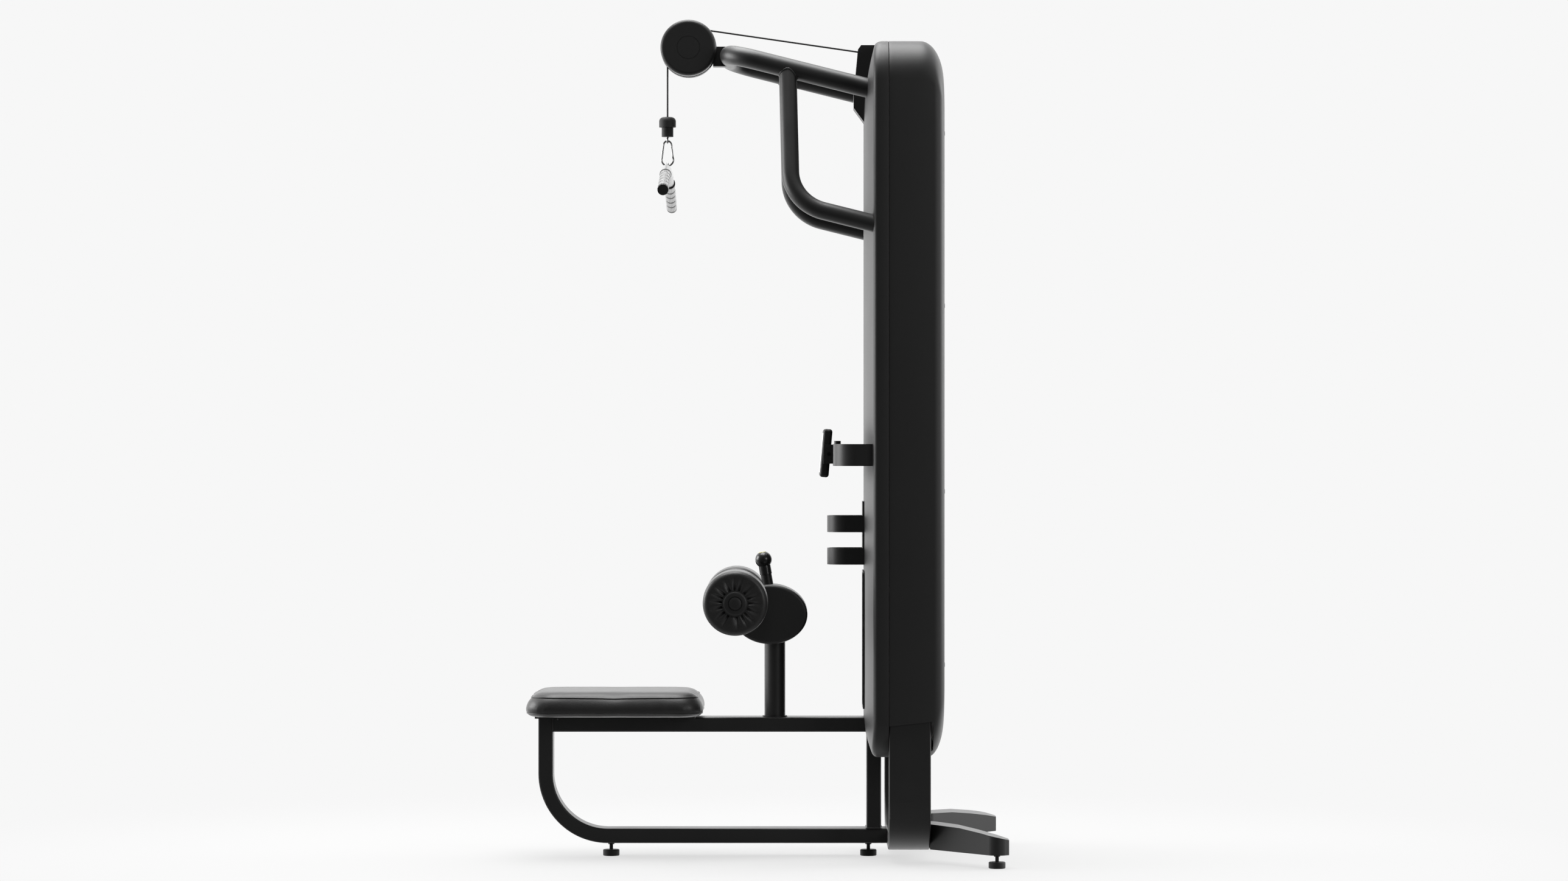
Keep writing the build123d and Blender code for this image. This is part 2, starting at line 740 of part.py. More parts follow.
def thigh_post():
    tube = Line((post_tube_x, 0, beam_top), (post_tube_x, 0, pod_z - 40))
    post = round_tube(tube, post_tube_r, tube_wall)
    post += rod_z(post_tube_x, 0, post_tube_r + 5.5, beam_top, beam_top + 3) \
        - rod_z(post_tube_x, 0, post_tube_r, beam_top - 1, beam_top + 4)
    head_half = 24
    block = rod_y(pivot_x, pod_z, 24, -head_half, head_half)
    block += box(pivot_x - 22, pivot_x + 22, -head_half, head_half, pod_z - 40, pod_z)
    post += block
    return post - rod_y(pivot_x, pod_z, pivot_r + run_fit, -60, 60)


def index_plate():
    """Round plate with scalloped rim that the spring pin rests in."""
    plate = rod_y(pivot_x, pod_z, index_r, -6, 6)
    plate &= box(pivot_x - 80, pivot_x + 80, -10, 10, pod_z + 18, pod_z + 100)
    plate -= rod_y(pivot_x, pod_z, 24, -10, 10)
    for step in range(-3, 4):
        a = math.radians(pin_tilt + 12 * step)
        plate -= rod_y(pivot_x - index_r * math.sin(a), pod_z + index_r * math.cos(a), 4, -10, 10)
    return plate


def rollers():
    y_pad = roller_in
    pad = rod_y(roller_x, roller_z, roller_r, y_pad, roller_out)
    rims = pad.edges().filter_by(GeomType.CIRCLE)
    pad = fillet(rims, 14) - rod_y(roller_x, roller_z, core_r, y_pad - 1, roller_out + 1)
    core = rod_y(roller_x, roller_z, core_r, y_pad, roller_out)
    core += rod_y(roller_x, roller_z, hub_r, roller_out, roller_out + hub_t)
    core -= rod_y(roller_x, roller_z, roller_axle_r + run_fit, 0, roller_out + 2)
    save("roller_far", pad)
    save("roller_near", other_side(pad))
    save("hub_far", core)
    save("hub_near", other_side(core))
    save("roller_axle", rod_y(roller_x, roller_z, roller_axle_r, -roller_out, roller_out))


def pull_pin():
    save("pin_guide", pin_rod(pod_b - 12, 109, 15, pin_r + run_fit) - pod_form(0))
    save("pin_plunger", pin_rod(index_r + slack, 150, pin_r))
    ball = Plane(origin=from_pivot(150), z_dir=from_pivot(1) - from_pivot(0)) * Sphere(23)
    knob = ball & pin_rod(130, 170, 30)
    knob += pin_rod(109 + slack, 133, 16.5)
    knob -= pin_rod(0, 150, pin_r)
    insert = pin_rod(166, 171, 10)
    save("pin_knob", knob - insert)
    save("pin_insert", insert)


def thigh_pads():
    save("pad_post", thigh_post())
    save("index_plate", index_plate())
    save("pod_shell", pod_shell())
    save("pivot_pin", rod_y(pivot_x, pod_z, pivot_r, -pod_half + 2, pod_half - 2))
    rollers()
    pull_pin()


# ---------------------------------------------------------------- bottle holder and console

def bottle_holder():
    face = shell_front
    holder = box(face - cup_t, face, -cup_r, cup_r, cup_z[0], cup_top)
    centre = face - 100 + cup_r
    for z in cup_z:
        outer = rod_z(centre, 0, cup_r, z, z + cup_h) + box(centre, face - cup_t, -cup_r, cup_r, z, z + cup_h)
        r = cup_r - cup_t
        inner = rod_z(centre, 0, r, z - 1, z + cup_h + 1) + box(centre, face - cup_t, -r, r, z - 1, z + cup_h + 1)
        holder += outer - inner
    holder += rod_z(centre, 0, cup_r - cup_t, cup_z[0], cup_z[0] + 3)
    return holder


def console_plane():
    """Frame at the lower front edge of the console, local Y up its face, local Z to the user."""
    a = math.radians(console_tilt)
    return Plane(origin=(console_x, 0, console_low), x_dir=(0, -1, 0), z_dir=(-math.cos(a), 0, math.sin(a)))


def console():
    plane = console_plane()
    case = plane * Pos(0, console_h / 2, -console_t / 2) * Box(2 * console_half, console_h, console_t)
    case = fillet(case.edges(), 8)
    recess = plane * Pos(0, console_h / 2, 0) * Box(2 * console_half - 20, console_h - 24, 4)
    pin = rod_y(hinge_x, hinge_z, 5, -console_half - 25, -console_half + 12)
    save("console_body", case - recess + pin)
    save("console_screen", plane * Pos(0, console_h / 2, -1) * Box(2 * console_half - 20.4, console_h - 24.4, 2))
    jaw_y = -console_half - jaw_gap
    jaw = box(hinge_x - 15, arm_band_x - arm_band_t, jaw_y - 28, jaw_y, hinge_z - 26, hinge_z + 26)
    save("console_jaw", jaw - rod_y(hinge_x, hinge_z, 5 + run_fit, -console_half - 60, -console_half))
    mid = arm_band_x - arm_band_t / 2
    entry = shell_front + crown + 12
    path = FilletPolyline((mid, jaw_y, hinge_z - 2), (mid, arm_band_y, hinge_z - 2),
                          (entry, arm_band_y, hinge_z - 2), radius=arm_band_bend)
    band = sweep_along(path, Rectangle(arm_band_t, arm_band_h), (1, 0, 0))
    band += rod_z(arm_band_x + 6, jaw_y - 20, 9, hinge_z - 31, hinge_z + 36)
    save("console_arm", band - front_form(0, loop_front))


# ---------------------------------------------------------------- weight stack

def plate_low(i):
    """Underside of a weight plate, counted from the bottom."""
    return stack_low + i * plate_pitch


def pin_height():
    return plate_low(plate_count - picked) + plate_t / 2


def stack_top():
    return plate_low(plate_count)


def stem_top():
    return stack_top() + header_t + 40


def weight_plate(i):
    low = plate_low(i)
    plate = box(stack_x - plate_depth / 2, stack_x + plate_depth / 2, -plate_half, plate_half, low, low + plate_t)
    for y in (-rod_y_place, rod_y_place):
        plate -= rod_z(stack_x, y, rod_r + rod_slack, low - 1, low + plate_t + 1)
    plate -= rod_z(stack_x, 0, stem_r + stem_slack, low - 1, low + plate_t + 1)
    slot = rod_x(stack_x - plate_depth, stack_x + plate_depth, 0, low + plate_t / 2, selector_r + selector_slack)
    return plate - slot


def weight_stack():
    split = plate_count - picked
    save("resting_plates", Compound(children=[weight_plate(i) for i in range(split)]))
    save("lifted_plates", Compound(children=[weight_plate(i) for i in range(split, plate_count)]))
    top = stack_top()
    header = box(stack_x - plate_depth / 2, stack_x + plate_depth / 2, -plate_half, plate_half, top, top + header_t)
    for y in (-rod_y_place, rod_y_place):
        header -= rod_z(stack_x, y, rod_r + run_fit, top - 1, top + header_t + 1)
    header += rod_z(stack_x, 0, stem_r, plate_low(0) + 1, stem_top())
    for i in range(plate_count):
        z = plate_low(i) + plate_t / 2
        header -= rod_x(stack_x - 20, stack_x + 20, 0, z, selector_r + selector_slack)
    save("header_and_stem", header)
    z = pin_height()
    front = stack_x - plate_depth / 2
    pin = rod_x(front - 6, stack_x + stem_r + selector_past, 0, z, selector_r)
    pin += rod_x(front - 28, front - 6, 0, z, 13)
    save("selector_pin", pin)


def rods():
    low = stack_low - bumper_h
    high = loop_top - loop_tube
    rod = rod_z(stack_x, rod_y_place, rod_r, low, high)
    save("guide_rods", both_sides(rod))
    bumper = rod_z(stack_x, rod_y_place, 24, low, stack_low - slack)
    bumper -= rod_z(stack_x, rod_y_place, rod_r, low - 1, stack_low)
    save("stack_bumpers", both_sides(bumper))
    inner = loop_half - loop_tube
    bar = box(stack_x - 30, stack_x + 30, -inner, inner, low - crossbar_h, low)
    save("rod_crossbar", bar)


def main():
    os.makedirs("parts", exist_ok=True)
    base_loop_halves()
    beams()
    feet()
    shells()
    head()
    stop_pieces()
    carabiner()
    bar_pieces()
    seat()
    thigh_pads()
    save("bottle_holder", bottle_holder())
    console()
    weight_stack()
    rods()


main()
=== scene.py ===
# %% [markdown]
# # A lat pulldown machine
# The machine is a black gym tower with a weight stack inside, a bent tube arm that carries the cable
# to a head pulley, a bar that hangs from the cable, and a low bench with two foam rollers for the thighs.
# The CAD model fixes every size and every motion. This script gives the machine its looks: it keeps the
# CAD pieces whose shape is right, gives them finishes, and builds the soft and moulded pieces anew.

# %% Load the model
import json
import math
import random

import bmesh
import bpy
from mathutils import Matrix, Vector
from mathutils.bvhtree import BVHTree
from mathutils.geometry import convex_hull_2d


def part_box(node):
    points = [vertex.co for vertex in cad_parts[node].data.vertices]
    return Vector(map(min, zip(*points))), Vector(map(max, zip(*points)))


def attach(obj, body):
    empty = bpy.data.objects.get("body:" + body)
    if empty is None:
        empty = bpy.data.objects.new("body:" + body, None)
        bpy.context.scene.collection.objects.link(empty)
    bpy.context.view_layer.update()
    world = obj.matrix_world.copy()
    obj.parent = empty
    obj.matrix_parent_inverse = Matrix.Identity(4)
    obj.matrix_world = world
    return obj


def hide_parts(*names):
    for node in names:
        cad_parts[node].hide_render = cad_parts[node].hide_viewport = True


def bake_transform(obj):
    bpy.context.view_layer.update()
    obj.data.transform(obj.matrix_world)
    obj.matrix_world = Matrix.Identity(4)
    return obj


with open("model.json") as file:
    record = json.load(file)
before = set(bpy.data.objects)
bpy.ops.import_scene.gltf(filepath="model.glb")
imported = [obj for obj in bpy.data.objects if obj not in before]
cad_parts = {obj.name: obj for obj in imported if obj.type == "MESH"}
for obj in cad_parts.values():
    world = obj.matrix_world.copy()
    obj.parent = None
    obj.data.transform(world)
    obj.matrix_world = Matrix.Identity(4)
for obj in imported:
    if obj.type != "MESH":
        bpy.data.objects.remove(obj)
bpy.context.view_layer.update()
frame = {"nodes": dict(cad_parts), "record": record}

# %% [markdown]
# ## The camera
# A long lens far away keeps the tubes parallel, and a camera level with the middle of the tower shows a
# little of the far side of everything, which is what tells the eye how deep the machine is.

# %% Camera
camera_data = bpy.data.cameras.new("camera")
camera_data.lens = 100
camera_data.sensor_width = 36
camera = bpy.data.objects.new("camera", camera_data)
camera.location = (0.052, -11.93, 1.137)
camera.rotation_euler = (math.radians(90), 0, 0)
bpy.context.scene.collection.objects.link(camera)
bpy.context.scene.camera = camera
bpy.context.scene.view_settings.view_transform = "Standard"
print("camera at", tuple(camera.location))

# %% [markdown]
# ## Floor and light
# The studio is one white room. Black gloss shows only what it reflects, so the room is bright behind the
# machine, half as bright beside and above it, and dim in front: flat sides stay dark and edges get a rim.
# The floor fades out with distance, so it has no horizon, and it keeps a soft shadow under the feet.


# %% World and floor
def room_light():
    """A room that goes from dim in front to bright behind, and looks plain white to the camera."""
    world = bpy.data.worlds.new("studio")
    bpy.context.scene.world = world
    world.use_nodes = True
    nodes, links = world.node_tree.nodes, world.node_tree.links
    nodes.clear()
    seen = nodes.new("ShaderNodeBackground")
    seen.inputs["Color"].default_value = (0.93, 0.93, 0.93, 1)
    lit = nodes.new("ShaderNodeBackground")
    lit.inputs["Strength"].default_value = 1.9
    place = nodes.new("ShaderNodeTexCoord")
    split = nodes.new("ShaderNodeSeparateXYZ")
    ramp = nodes.new("ShaderNodeValToRGB")
    span = nodes.new("ShaderNodeMapRange")
    span.inputs["From Min"].default_value = -1.0
    span.inputs["From Max"].default_value = 1.0
    stops = ramp.color_ramp.elements
    stops[0].position, stops[0].color = 0.08, (0.05, 0.05, 0.05, 1)
    stops[1].position, stops[1].color = 0.75, (0.95, 0.95, 0.95, 1)
    middle = stops.new(0.36)
    middle.color = (0.14, 0.14, 0.14, 1)
    links.new(place.outputs["Generated"], split.inputs[0])
    links.new(split.outputs["Y"], span.inputs["Value"])
    links.new(span.outputs["Result"], ramp.inputs["Fac"])
    links.new(ramp.outputs["Color"], lit.inputs["Color"])
    path = nodes.new("ShaderNodeLightPath")
    mix = nodes.new("ShaderNodeMixShader")
    out = nodes.new("ShaderNodeOutputWorld")
    links.new(path.outputs["Is Camera Ray"], mix.inputs[0])
    links.new(lit.outputs[0], mix.inputs[1])
    links.new(seen.outputs[0], mix.inputs[2])
    links.new(mix.outputs[0], out.inputs["Surface"])


def soft_box(name, place, aim, size, watts):
    """A large square lamp that looks at a point."""
    data = bpy.data.lights.new(name, "AREA")
    data.size = size
    data.energy = watts
    lamp = bpy.data.objects.new(name, data)
    lamp.location = place
    lamp.rotation_euler = (Vector(aim) - Vector(place)).to_track_quat("-Z", "Y").to_euler()
    bpy.context.scene.collection.objects.link(lamp)


room_light()
soft_box("top_lamp", (-0.3, 0.2, 5.0), (0, 0, 1), 3.0, 260)
soft_box("left_lamp", (-4.5, 0.4, 2.2), (0.2, 0, 1.2), 2.6, 190)
soft_box("right_lamp", (4.5, 0.6, 2.2), (0.4, 0, 1.2), 2.6, 190)
soft_box("sheen_lamp", (4.4, -5.2, 2.6), (0.4, 0, 1.2), 2.4, 80)
print("lamps:", len(bpy.data.lights))

# %% [markdown]
# ## Shader maths
# A finish is a few noise patterns added, scaled and fed to roughness or bump. Written as nodes that is
# hard to read, so a small class wraps a socket and turns plain arithmetic into Math nodes.


# %% Sockets that can be added and multiplied
class Value:
    """A number socket of a shader tree, for use in Python arithmetic."""

    def __init__(self, tree, socket):
        self.tree = tree
        self.socket = socket

    def math(self, operation, *terms):
        return node(self.tree, "ShaderNodeMath", {"operation": operation}, dict(enumerate(terms)))

    def __add__(self, other):
        return self.math("ADD", self, other)

    def __sub__(self, other):
        return self.math("SUBTRACT", self, other)

    def __rsub__(self, other):
        return self.math("SUBTRACT", other, self)

    def __mul__(self, other):
        return self.math("MULTIPLY", self, other)

    def sine(self):
        return self.math("SINE", self)

    __radd__ = __add__
    __rmul__ = __mul__


def node(tree, kind, settings, sockets, output=0):
    """Adds a node: its settings first, then the values or links of its sockets."""
    made = tree.nodes.new(kind)
    for key, value in settings.items():
        setattr(made, key, value)
    for key, value in sockets.items():
        if isinstance(value, Value):
            tree.links.new(value.socket, made.inputs[key])
        else:
            made.inputs[key].default_value = value
    return Value(tree, made.outputs[output])


class Finish:
    """A material with one principled shader and patterns in the object's own space."""

    def __init__(self, name, **constants):
        self.material = bpy.data.materials.new(name)
        self.material.use_nodes = True
        self.tree = self.material.node_tree
        self.shader = self.tree.nodes["Principled BSDF"]
        for key, value in constants.items():
            self.shader.inputs[key.replace("_", " ")].default_value = value
        self.place = node(self.tree, "ShaderNodeTexCoord", {}, {}, "Object")

    def noise(self, scale, detail=2.0, stretch=(1, 1, 1)):
        place = node(self.tree, "ShaderNodeMapping", {}, {"Vector": self.place, "Scale": stretch})
        return node(self.tree, "ShaderNodeTexNoise", {}, {"Vector": place, "Scale": scale, "Detail": detail})

    def cells(self, scale, feature="F1"):
        return node(self.tree, "ShaderNodeTexVoronoi", {"feature": feature},
                    {"Vector": self.place, "Scale": scale})

    def attribute(self, name):
        return node(self.tree, "ShaderNodeAttribute", {"attribute_name": name}, {}, "Fac")

    def shade(self, dark, pale, amount):
        """Base colour between two colours."""
        factor, first, second, result = 0, 6, 7, 2      # the colour sockets among the Mix node's many
        mix = node(self.tree, "ShaderNodeMix", {"data_type": "RGBA"},
                   {factor: amount, first: dark, second: pale}, result)
        self.tree.links.new(mix.socket, self.shader.inputs["Base Color"])

    def vary(self, socket, value):
        self.tree.links.new(value.socket, self.shader.inputs[socket])

    def bump(self, height, distance, strength=1.0):
        sockets = {"Height": height, "Distance": distance, "Strength": strength}
        made = node(self.tree, "ShaderNodeBump", {}, sockets)
        self.tree.links.new(made.socket, self.shader.inputs["Normal"])


print("shader helpers ready")

# %% [markdown]
# ## Painted steel
# Powder coat on steel tube is black, satin and never quite smooth: the powder melts into a skin of tiny
# waves, called orange peel. A noise about a millimetre wide gives the waves, and a slow noise makes the
# sheen drift a little along each tube, as wiped steel does.


# %% Steel finishes
def grey(level, warm=0.0):
    return (level + warm, level, level - warm * 0.5, 1)


def powder_coat():
    f = Finish("powder_coat", Specular_IOR_Level=0.45)
    drift = f.noise(7, 3)
    speckle = f.noise(1500, 1)
    f.shade(grey(0.0085), grey(0.016), drift * 0.7 + speckle * 0.3)
    f.vary("Roughness", 0.36 + drift * 0.12)
    f.bump(f.noise(650, 2) + 0.4 * f.noise(1700, 1), 0.00012, 0.5)
    return f.material


def satin_steel():
    f = Finish("satin_steel", Metallic=1.0)
    lines = f.noise(900, 2, (1, 0.02, 1))
    f.shade(grey(0.20), grey(0.36), lines * 0.6 + f.noise(14, 2) * 0.4)
    f.vary("Roughness", 0.26 + lines * 0.18)
    f.bump(lines, 0.00004, 0.4)
    return f.material


def knurled_steel():
    f = Finish("knurled_steel", Metallic=1.0)
    around = f.attribute("around")
    along = f.attribute("along")
    teeth = (around * 34.0 + along * 900.0).sine() * (around * 34.0 - along * 900.0).sine()
    # The colour follows the knurl's height: its hollows are painted shade and its crests painted highlight,
    # darker and paler than the plain steel.
    f.shade(grey(0.11), grey(0.30), teeth * 0.5 + 0.5)
    f.vary("Roughness", 0.38 - teeth * 0.06)
    f.bump(teeth, 0.00025, 0.8)
    return f.material


def bright_zinc():
    f = Finish("bright_zinc", Metallic=1.0)
    cloud = f.noise(160, 3)
    f.shade(grey(0.26), grey(0.40), cloud)
    f.vary("Roughness", 0.22 + cloud * 0.14)
    f.bump(f.noise(700, 1), 0.00004, 0.4)
    return f.material


def polished_rod():
    f = Finish("polished_rod", Metallic=1.0)
    film = f.noise(25, 3, (1, 1, 0.2))
    f.shade(grey(0.42), grey(0.54), film)
    f.vary("Roughness", 0.07 + film * 0.1)
    f.bump(f.noise(1200, 1, (1, 1, 0.05)), 0.00001, 0.3)
    return f.material


def black_screw():
    f = Finish("black_screw", Metallic=0.6)
    cloud = f.noise(220, 3)
    f.shade(grey(0.012), grey(0.03), cloud)
    f.vary("Roughness", 0.34 + cloud * 0.2)
    f.bump(f.noise(1500, 1), 0.00003, 0.4)
    return f.material


def plate_coat():
    f = Finish("plate_coat")
    pits = f.cells(420)
    f.shade(grey(0.02), grey(0.035), pits)
    f.vary("Roughness", 0.5 + pits * 0.25)
    f.bump(pits + f.noise(90, 3), 0.0003, 0.5)
    return f.material


print("steel finishes ready")

# %% [markdown]
# ## Moulded plastic, rubber and covers
# The tower's shells are moulded with a fine spark-eroded grain that scatters the light, so they look
# softer than the painted tubes. The seat and rollers have a black leatherette with small rounded cells
# and a faint larger crease, and the rubber is the mattest of all.


# %% Plastic, rubber and leatherette finishes
def grained_plastic(name, level, rough, grain):
    f = Finish(name, Specular_IOR_Level=0.42)
    cells = f.cells(grain)
    drift = f.noise(3.5, 3)
    f.shade(grey(level), grey(level * 1.6), cells * 0.5 + drift * 0.5)
    f.vary("Roughness", rough + drift * 0.08 + cells * 0.05)
    f.bump(cells + f.noise(grain * 0.6, 2), 0.00012, 0.45)
    return f.material


def smooth_plastic(name, dark, pale, rough):
    f = Finish(name)
    cloud = f.noise(60, 3)
    f.shade(dark, pale, cloud)
    f.vary("Roughness", rough + cloud * 0.08)
    f.bump(f.noise(900, 1), 0.00003, 0.3)
    return f.material


def leatherette(name):
    f = Finish(name, Specular_IOR_Level=0.5, Sheen_Weight=0.05)
    cells = f.cells(420, "SMOOTH_F1")
    crease = f.noise(38, 4)
    f.shade(grey(0.008), grey(0.018, 0.0004), cells * 0.6 + crease * 0.4)
    f.vary("Roughness", 0.34 + cells * 0.14 + crease * 0.08)
    f.bump(cells * 0.7 + crease * 0.8, 0.0005, 0.5)
    return f.material


def rubber():
    f = Finish("rubber", Specular_IOR_Level=0.35)
    dust = f.noise(45, 4)
    f.shade(grey(0.010), grey(0.020), dust)
    f.vary("Roughness", 0.55 + dust * 0.2)
    f.bump(f.noise(800, 2), 0.0001, 0.5)
    return f.material


def screen_glass():
    f = Finish("screen_glass", Coat_Weight=1.0, Coat_Roughness=0.03)
    smear = f.noise(18, 3)
    f.shade(grey(0.003), grey(0.006), smear)
    f.vary("Roughness", 0.06 + smear * 0.1)
    f.bump(f.noise(30, 1), 0.00001, 0.2)
    return f.material


finishes = {
    "frame_paint": powder_coat(),
    "bar_steel": satin_steel(),
    "clip_zinc": bright_zinc(),
    "rod_chrome": polished_rod(),
    "screw_steel": black_screw(),
    "plate_iron": plate_coat(),
    "shell_plastic": grained_plastic("shell_plastic", 0.0095, 0.42, 1300),
    "cover_plastic": grained_plastic("cover_plastic", 0.008, 0.40, 1600),
    "pulley_nylon": smooth_plastic("pulley_nylon", grey(0.010), grey(0.02), 0.32),
    "knob_plastic": smooth_plastic("knob_plastic", grey(0.006), grey(0.012), 0.22),
    "knob_yellow": smooth_plastic("knob_yellow", (0.55, 0.50, 0.02, 1), (0.72, 0.66, 0.05, 1), 0.3),
    "cable_coat": smooth_plastic("cable_coat", grey(0.008), grey(0.016), 0.3),
    "seat_cover": leatherette("seat_cover"),
    "roller_cover": leatherette("roller_cover"),
    "stop_rubber": rubber(),
    "screen": screen_glass(),
}
knurl = knurled_steel()
print("finishes:", len(finishes))

# %% [markdown]
# ## Finishes for the CAD pieces
# The record says which finish each CAD node takes. Their shapes stay as they are.

# %% Paint the CAD pieces
slot_of = {part["node"]: part["material_slot"] for part in frame["record"]["subparts"]}
for name, piece in frame["nodes"].items():
    piece.data.materials.clear()
    piece.data.materials.append(finishes[slot_of[name]])
print("painted:", len(slot_of))

# %% [markdown]
# ## Mesh helpers
# Most of the new pieces are skins: a row of closed rings, one after another, joined by quads. A lathed
# piece is the same thing with round rings. Ends are closed with a cap, so every mesh is watertight.

# %% Rings, skins and tubes
MM = 0.001
LEAST = 0.0005           # the smallest corner radius, and the shortest run between two corners


def place_piece(name, verts, faces, finish):
    mesh = bpy.data.meshes.new(name)
    mesh.from_pydata([tuple(v) for v in verts], [], faces)
    mesh.validate()
    shell = bmesh.new()
    shell.from_mesh(mesh)
    bmesh.ops.recalc_face_normals(shell, faces=shell.faces)
    shell.to_mesh(mesh)
    shell.free()
    mesh.polygons.foreach_set("use_smooth", [True] * len(mesh.polygons))
    mesh.materials.append(finish)
    piece = bpy.data.objects.new(name, mesh)
    bpy.context.scene.collection.objects.link(piece)
    return piece


def skin(name, rings, finish, closed=False):
    """Quads between rings of equal length, with a cap at each end unless the rings close on themselves."""
    count = len(rings[0])
    verts = [point for ring in rings for point in ring]
    faces = []
    last = len(rings) if closed else len(rings) - 1
    for i in range(last):
        a = i * count
        b = (i + 1) % len(rings) * count
        for k in range(count):
            n = (k + 1) % count
            faces.append((a + k, a + n, b + n, b + k))
    if not closed:
        faces.append(tuple(range(count - 1, -1, -1)))
        faces.append(tuple(range(len(verts) - count, len(verts))))
    return place_piece(name, verts, faces, finish)


def lathe(name, profile, centre, axis, finish, sides=96):
    """Turns (distance along the axis, radius) pairs round an axis through centre."""
    axis = Vector(axis).normalized()
    side = axis.orthogonal().normalized()
    up = axis.cross(side)
    rings = []
    for along, radius in profile:
        ring = []
        for k in range(sides):
            a = 2 * math.pi * k / sides
            ring.append(Vector(centre) + axis * along + (side * math.cos(a) + up * math.sin(a)) * radius)
        rings.append(ring)
    return skin(name, rings, finish)


def tube(name, points, radius, finish, sides=16, closed=False):
    """A round tube through points, its rings square to the path."""
    points = [Vector(p) for p in points]
    rings = []
    up = None
    for i, here in enumerate(points):
        before = points[i - 1] if i or closed else here
        after = points[(i + 1) % len(points)] if i + 1 < len(points) or closed else here
        run = (after - before).normalized()
        if up is None:
            up = run.orthogonal().normalized()
        up = (up - run * up.dot(run)).normalized()
        side = run.cross(up)
        turn = [2 * math.pi * k / sides for k in range(sides)]
        rings.append([here + (up * math.cos(a) + side * math.sin(a)) * radius for a in turn])
    return skin(name, rings, finish, closed)


def rounded_rect(half, low, high, corner, steps=12, runs=10):
    """Points (across, up) round a rectangle with round corners, the same count whatever its size."""
    corner = max(min(corner, half - LEAST, (high - low) / 2 - LEAST), LEAST)
    corners = [(half - corner, high - corner, 0), (-half + corner, high - corner, 90),
               (-half + corner, low + corner, 180), (half - corner, low + corner, 270)]
    outline = []
    for i, (cy, cz, start) in enumerate(corners):
        for k in range(steps + 1):
            a = math.radians(start + 90 * k / steps)
            outline.append((cy + corner * math.cos(a), cz + corner * math.sin(a)))
        ny, nz, turn = corners[(i + 1) % 4]
        a = math.radians(turn)
        end = (ny + corner * math.cos(a), nz + corner * math.sin(a))
        begin = outline[-1]
        for k in range(1, runs):
            t = k / runs
            outline.append((begin[0] + (end[0] - begin[0]) * t, begin[1] + (end[1] - begin[1]) * t))
    return outline


def carve(piece, *cutters):
    """Takes the cutters' shapes out of a piece and removes the cutters."""
    for cutter in cutters:
        cut = piece.modifiers.new("cut", "BOOLEAN")
        cut.operation = "DIFFERENCE"
        cut.solver = "EXACT"
        cut.object = cutter
    settle(piece)
    for cutter in cutters:
        bpy.data.objects.remove(cutter)
    return piece


def settle(piece):
    """Makes a piece's modifiers part of its mesh."""
    bpy.context.view_layer.update()
    graph = bpy.context.evaluated_depsgraph_get()
    mesh = bpy.data.meshes.new_from_object(piece.evaluated_get(graph))
    piece.modifiers.clear()
    piece.data = mesh


def sharp_edges(piece, degrees=32):
    """Shades faces smooth but keeps edges sharper than an angle crisp."""
    mesh = bmesh.new()
    mesh.from_mesh(piece.data)
    for edge in mesh.edges:
        edge.smooth = len(edge.link_faces) == 2 and edge.calc_face_angle(0) < math.radians(degrees)
    for face in mesh.faces:
        face.smooth = True
    mesh.to_mesh(piece.data)
    mesh.free()
    return piece


def block(low, high):
    """A plain box, used only to cut with."""
    x0, y0, z0 = low
    x1, y1, z1 = high
    ring = [(y0, z0), (y1, z0), (y1, z1), (y0, z1)]
    return skin("cutter", [[(x, y, z) for y, z in ring] for x in (x0, x1)], None)


print("mesh helpers ready")

# %% [markdown]
# ## The tower's shells
# Two deep mouldings meet at a seam that runs up the tower's side. Each one is a row of rounded
# rectangles, like slices of bread: the rear shell's slices shrink towards the back, more at the top than
# at the sides, and the front shell ends in a crowned face that leans back at its top and bottom.

# %% Sizes of the shells
shell_low, shell_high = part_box("rear_shell")
SEAM = shell_low[0]
HALF = shell_high[1]
LOW = shell_low[2]
HIGH = shell_high[2]
BACK = shell_high[0]
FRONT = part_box("front_shell")[0][0]
CORNER = 110 * MM
WALL = 4 * MM
LIP = 1.6 * MM           # how far each shell turns in at the seam
BELLY = 4 * MM           # how far the rear shell's flat side draws in towards the back
CROWN = 21 * MM          # how far the front face falls back from its middle to CROWN_HALF
CROWN_HALF = 285 * MM
TOP_LEAN = (208 * MM, 764 * MM)    # where the face starts to lean back below the top, and its arc's radius
FOOT_LEAN = (112 * MM, 284 * MM)   # the same above the foot
ROLL = 11 * MM           # radius of the front face's rolled edge


def belly(x):
    """The slow draw-in of the rear shell's side, which lets it catch light towards the back."""
    return BELLY * min((x - SEAM) / (BACK - SEAM - 30 * MM), 1.0) ** 2


def turned_in(t, amount):
    """A quarter of an ellipse: nothing at t = 0 and the whole amount at t = 1."""
    t = min(max(t, 0.0), 1.0)
    return amount * (1 - math.sqrt(1 - t * t))


def back_round(x, end, run, amount):
    """How far a side has turned in at x, when it starts a run before the end."""
    return turned_in((x - end + run) / run, amount)


def slice_at(x, side, top, bottom, corner=CORNER):
    """A rounded rectangle across the tower, drawn in from its full size by three amounts."""
    outline = rounded_rect(HALF - side, LOW + bottom, HIGH - top, corner - side, 14, 16)
    return [(x, y, z) for y, z in outline]


def seam_slices(toward):
    """The small roll-in at the seam, on the side that toward (+1 or -1) points to."""
    slices = []
    for step in range(5):
        a = math.radians(90 * step / 4)
        inset = LIP * (1 - math.sin(a))
        slices.append(slice_at(SEAM + toward * (0.3 * MM + LIP * (1 - math.cos(a))), inset, inset, inset))
    return slices


print("tower:", round(HALF * 2, 3), "wide,", round(HIGH - LOW, 3), "high")


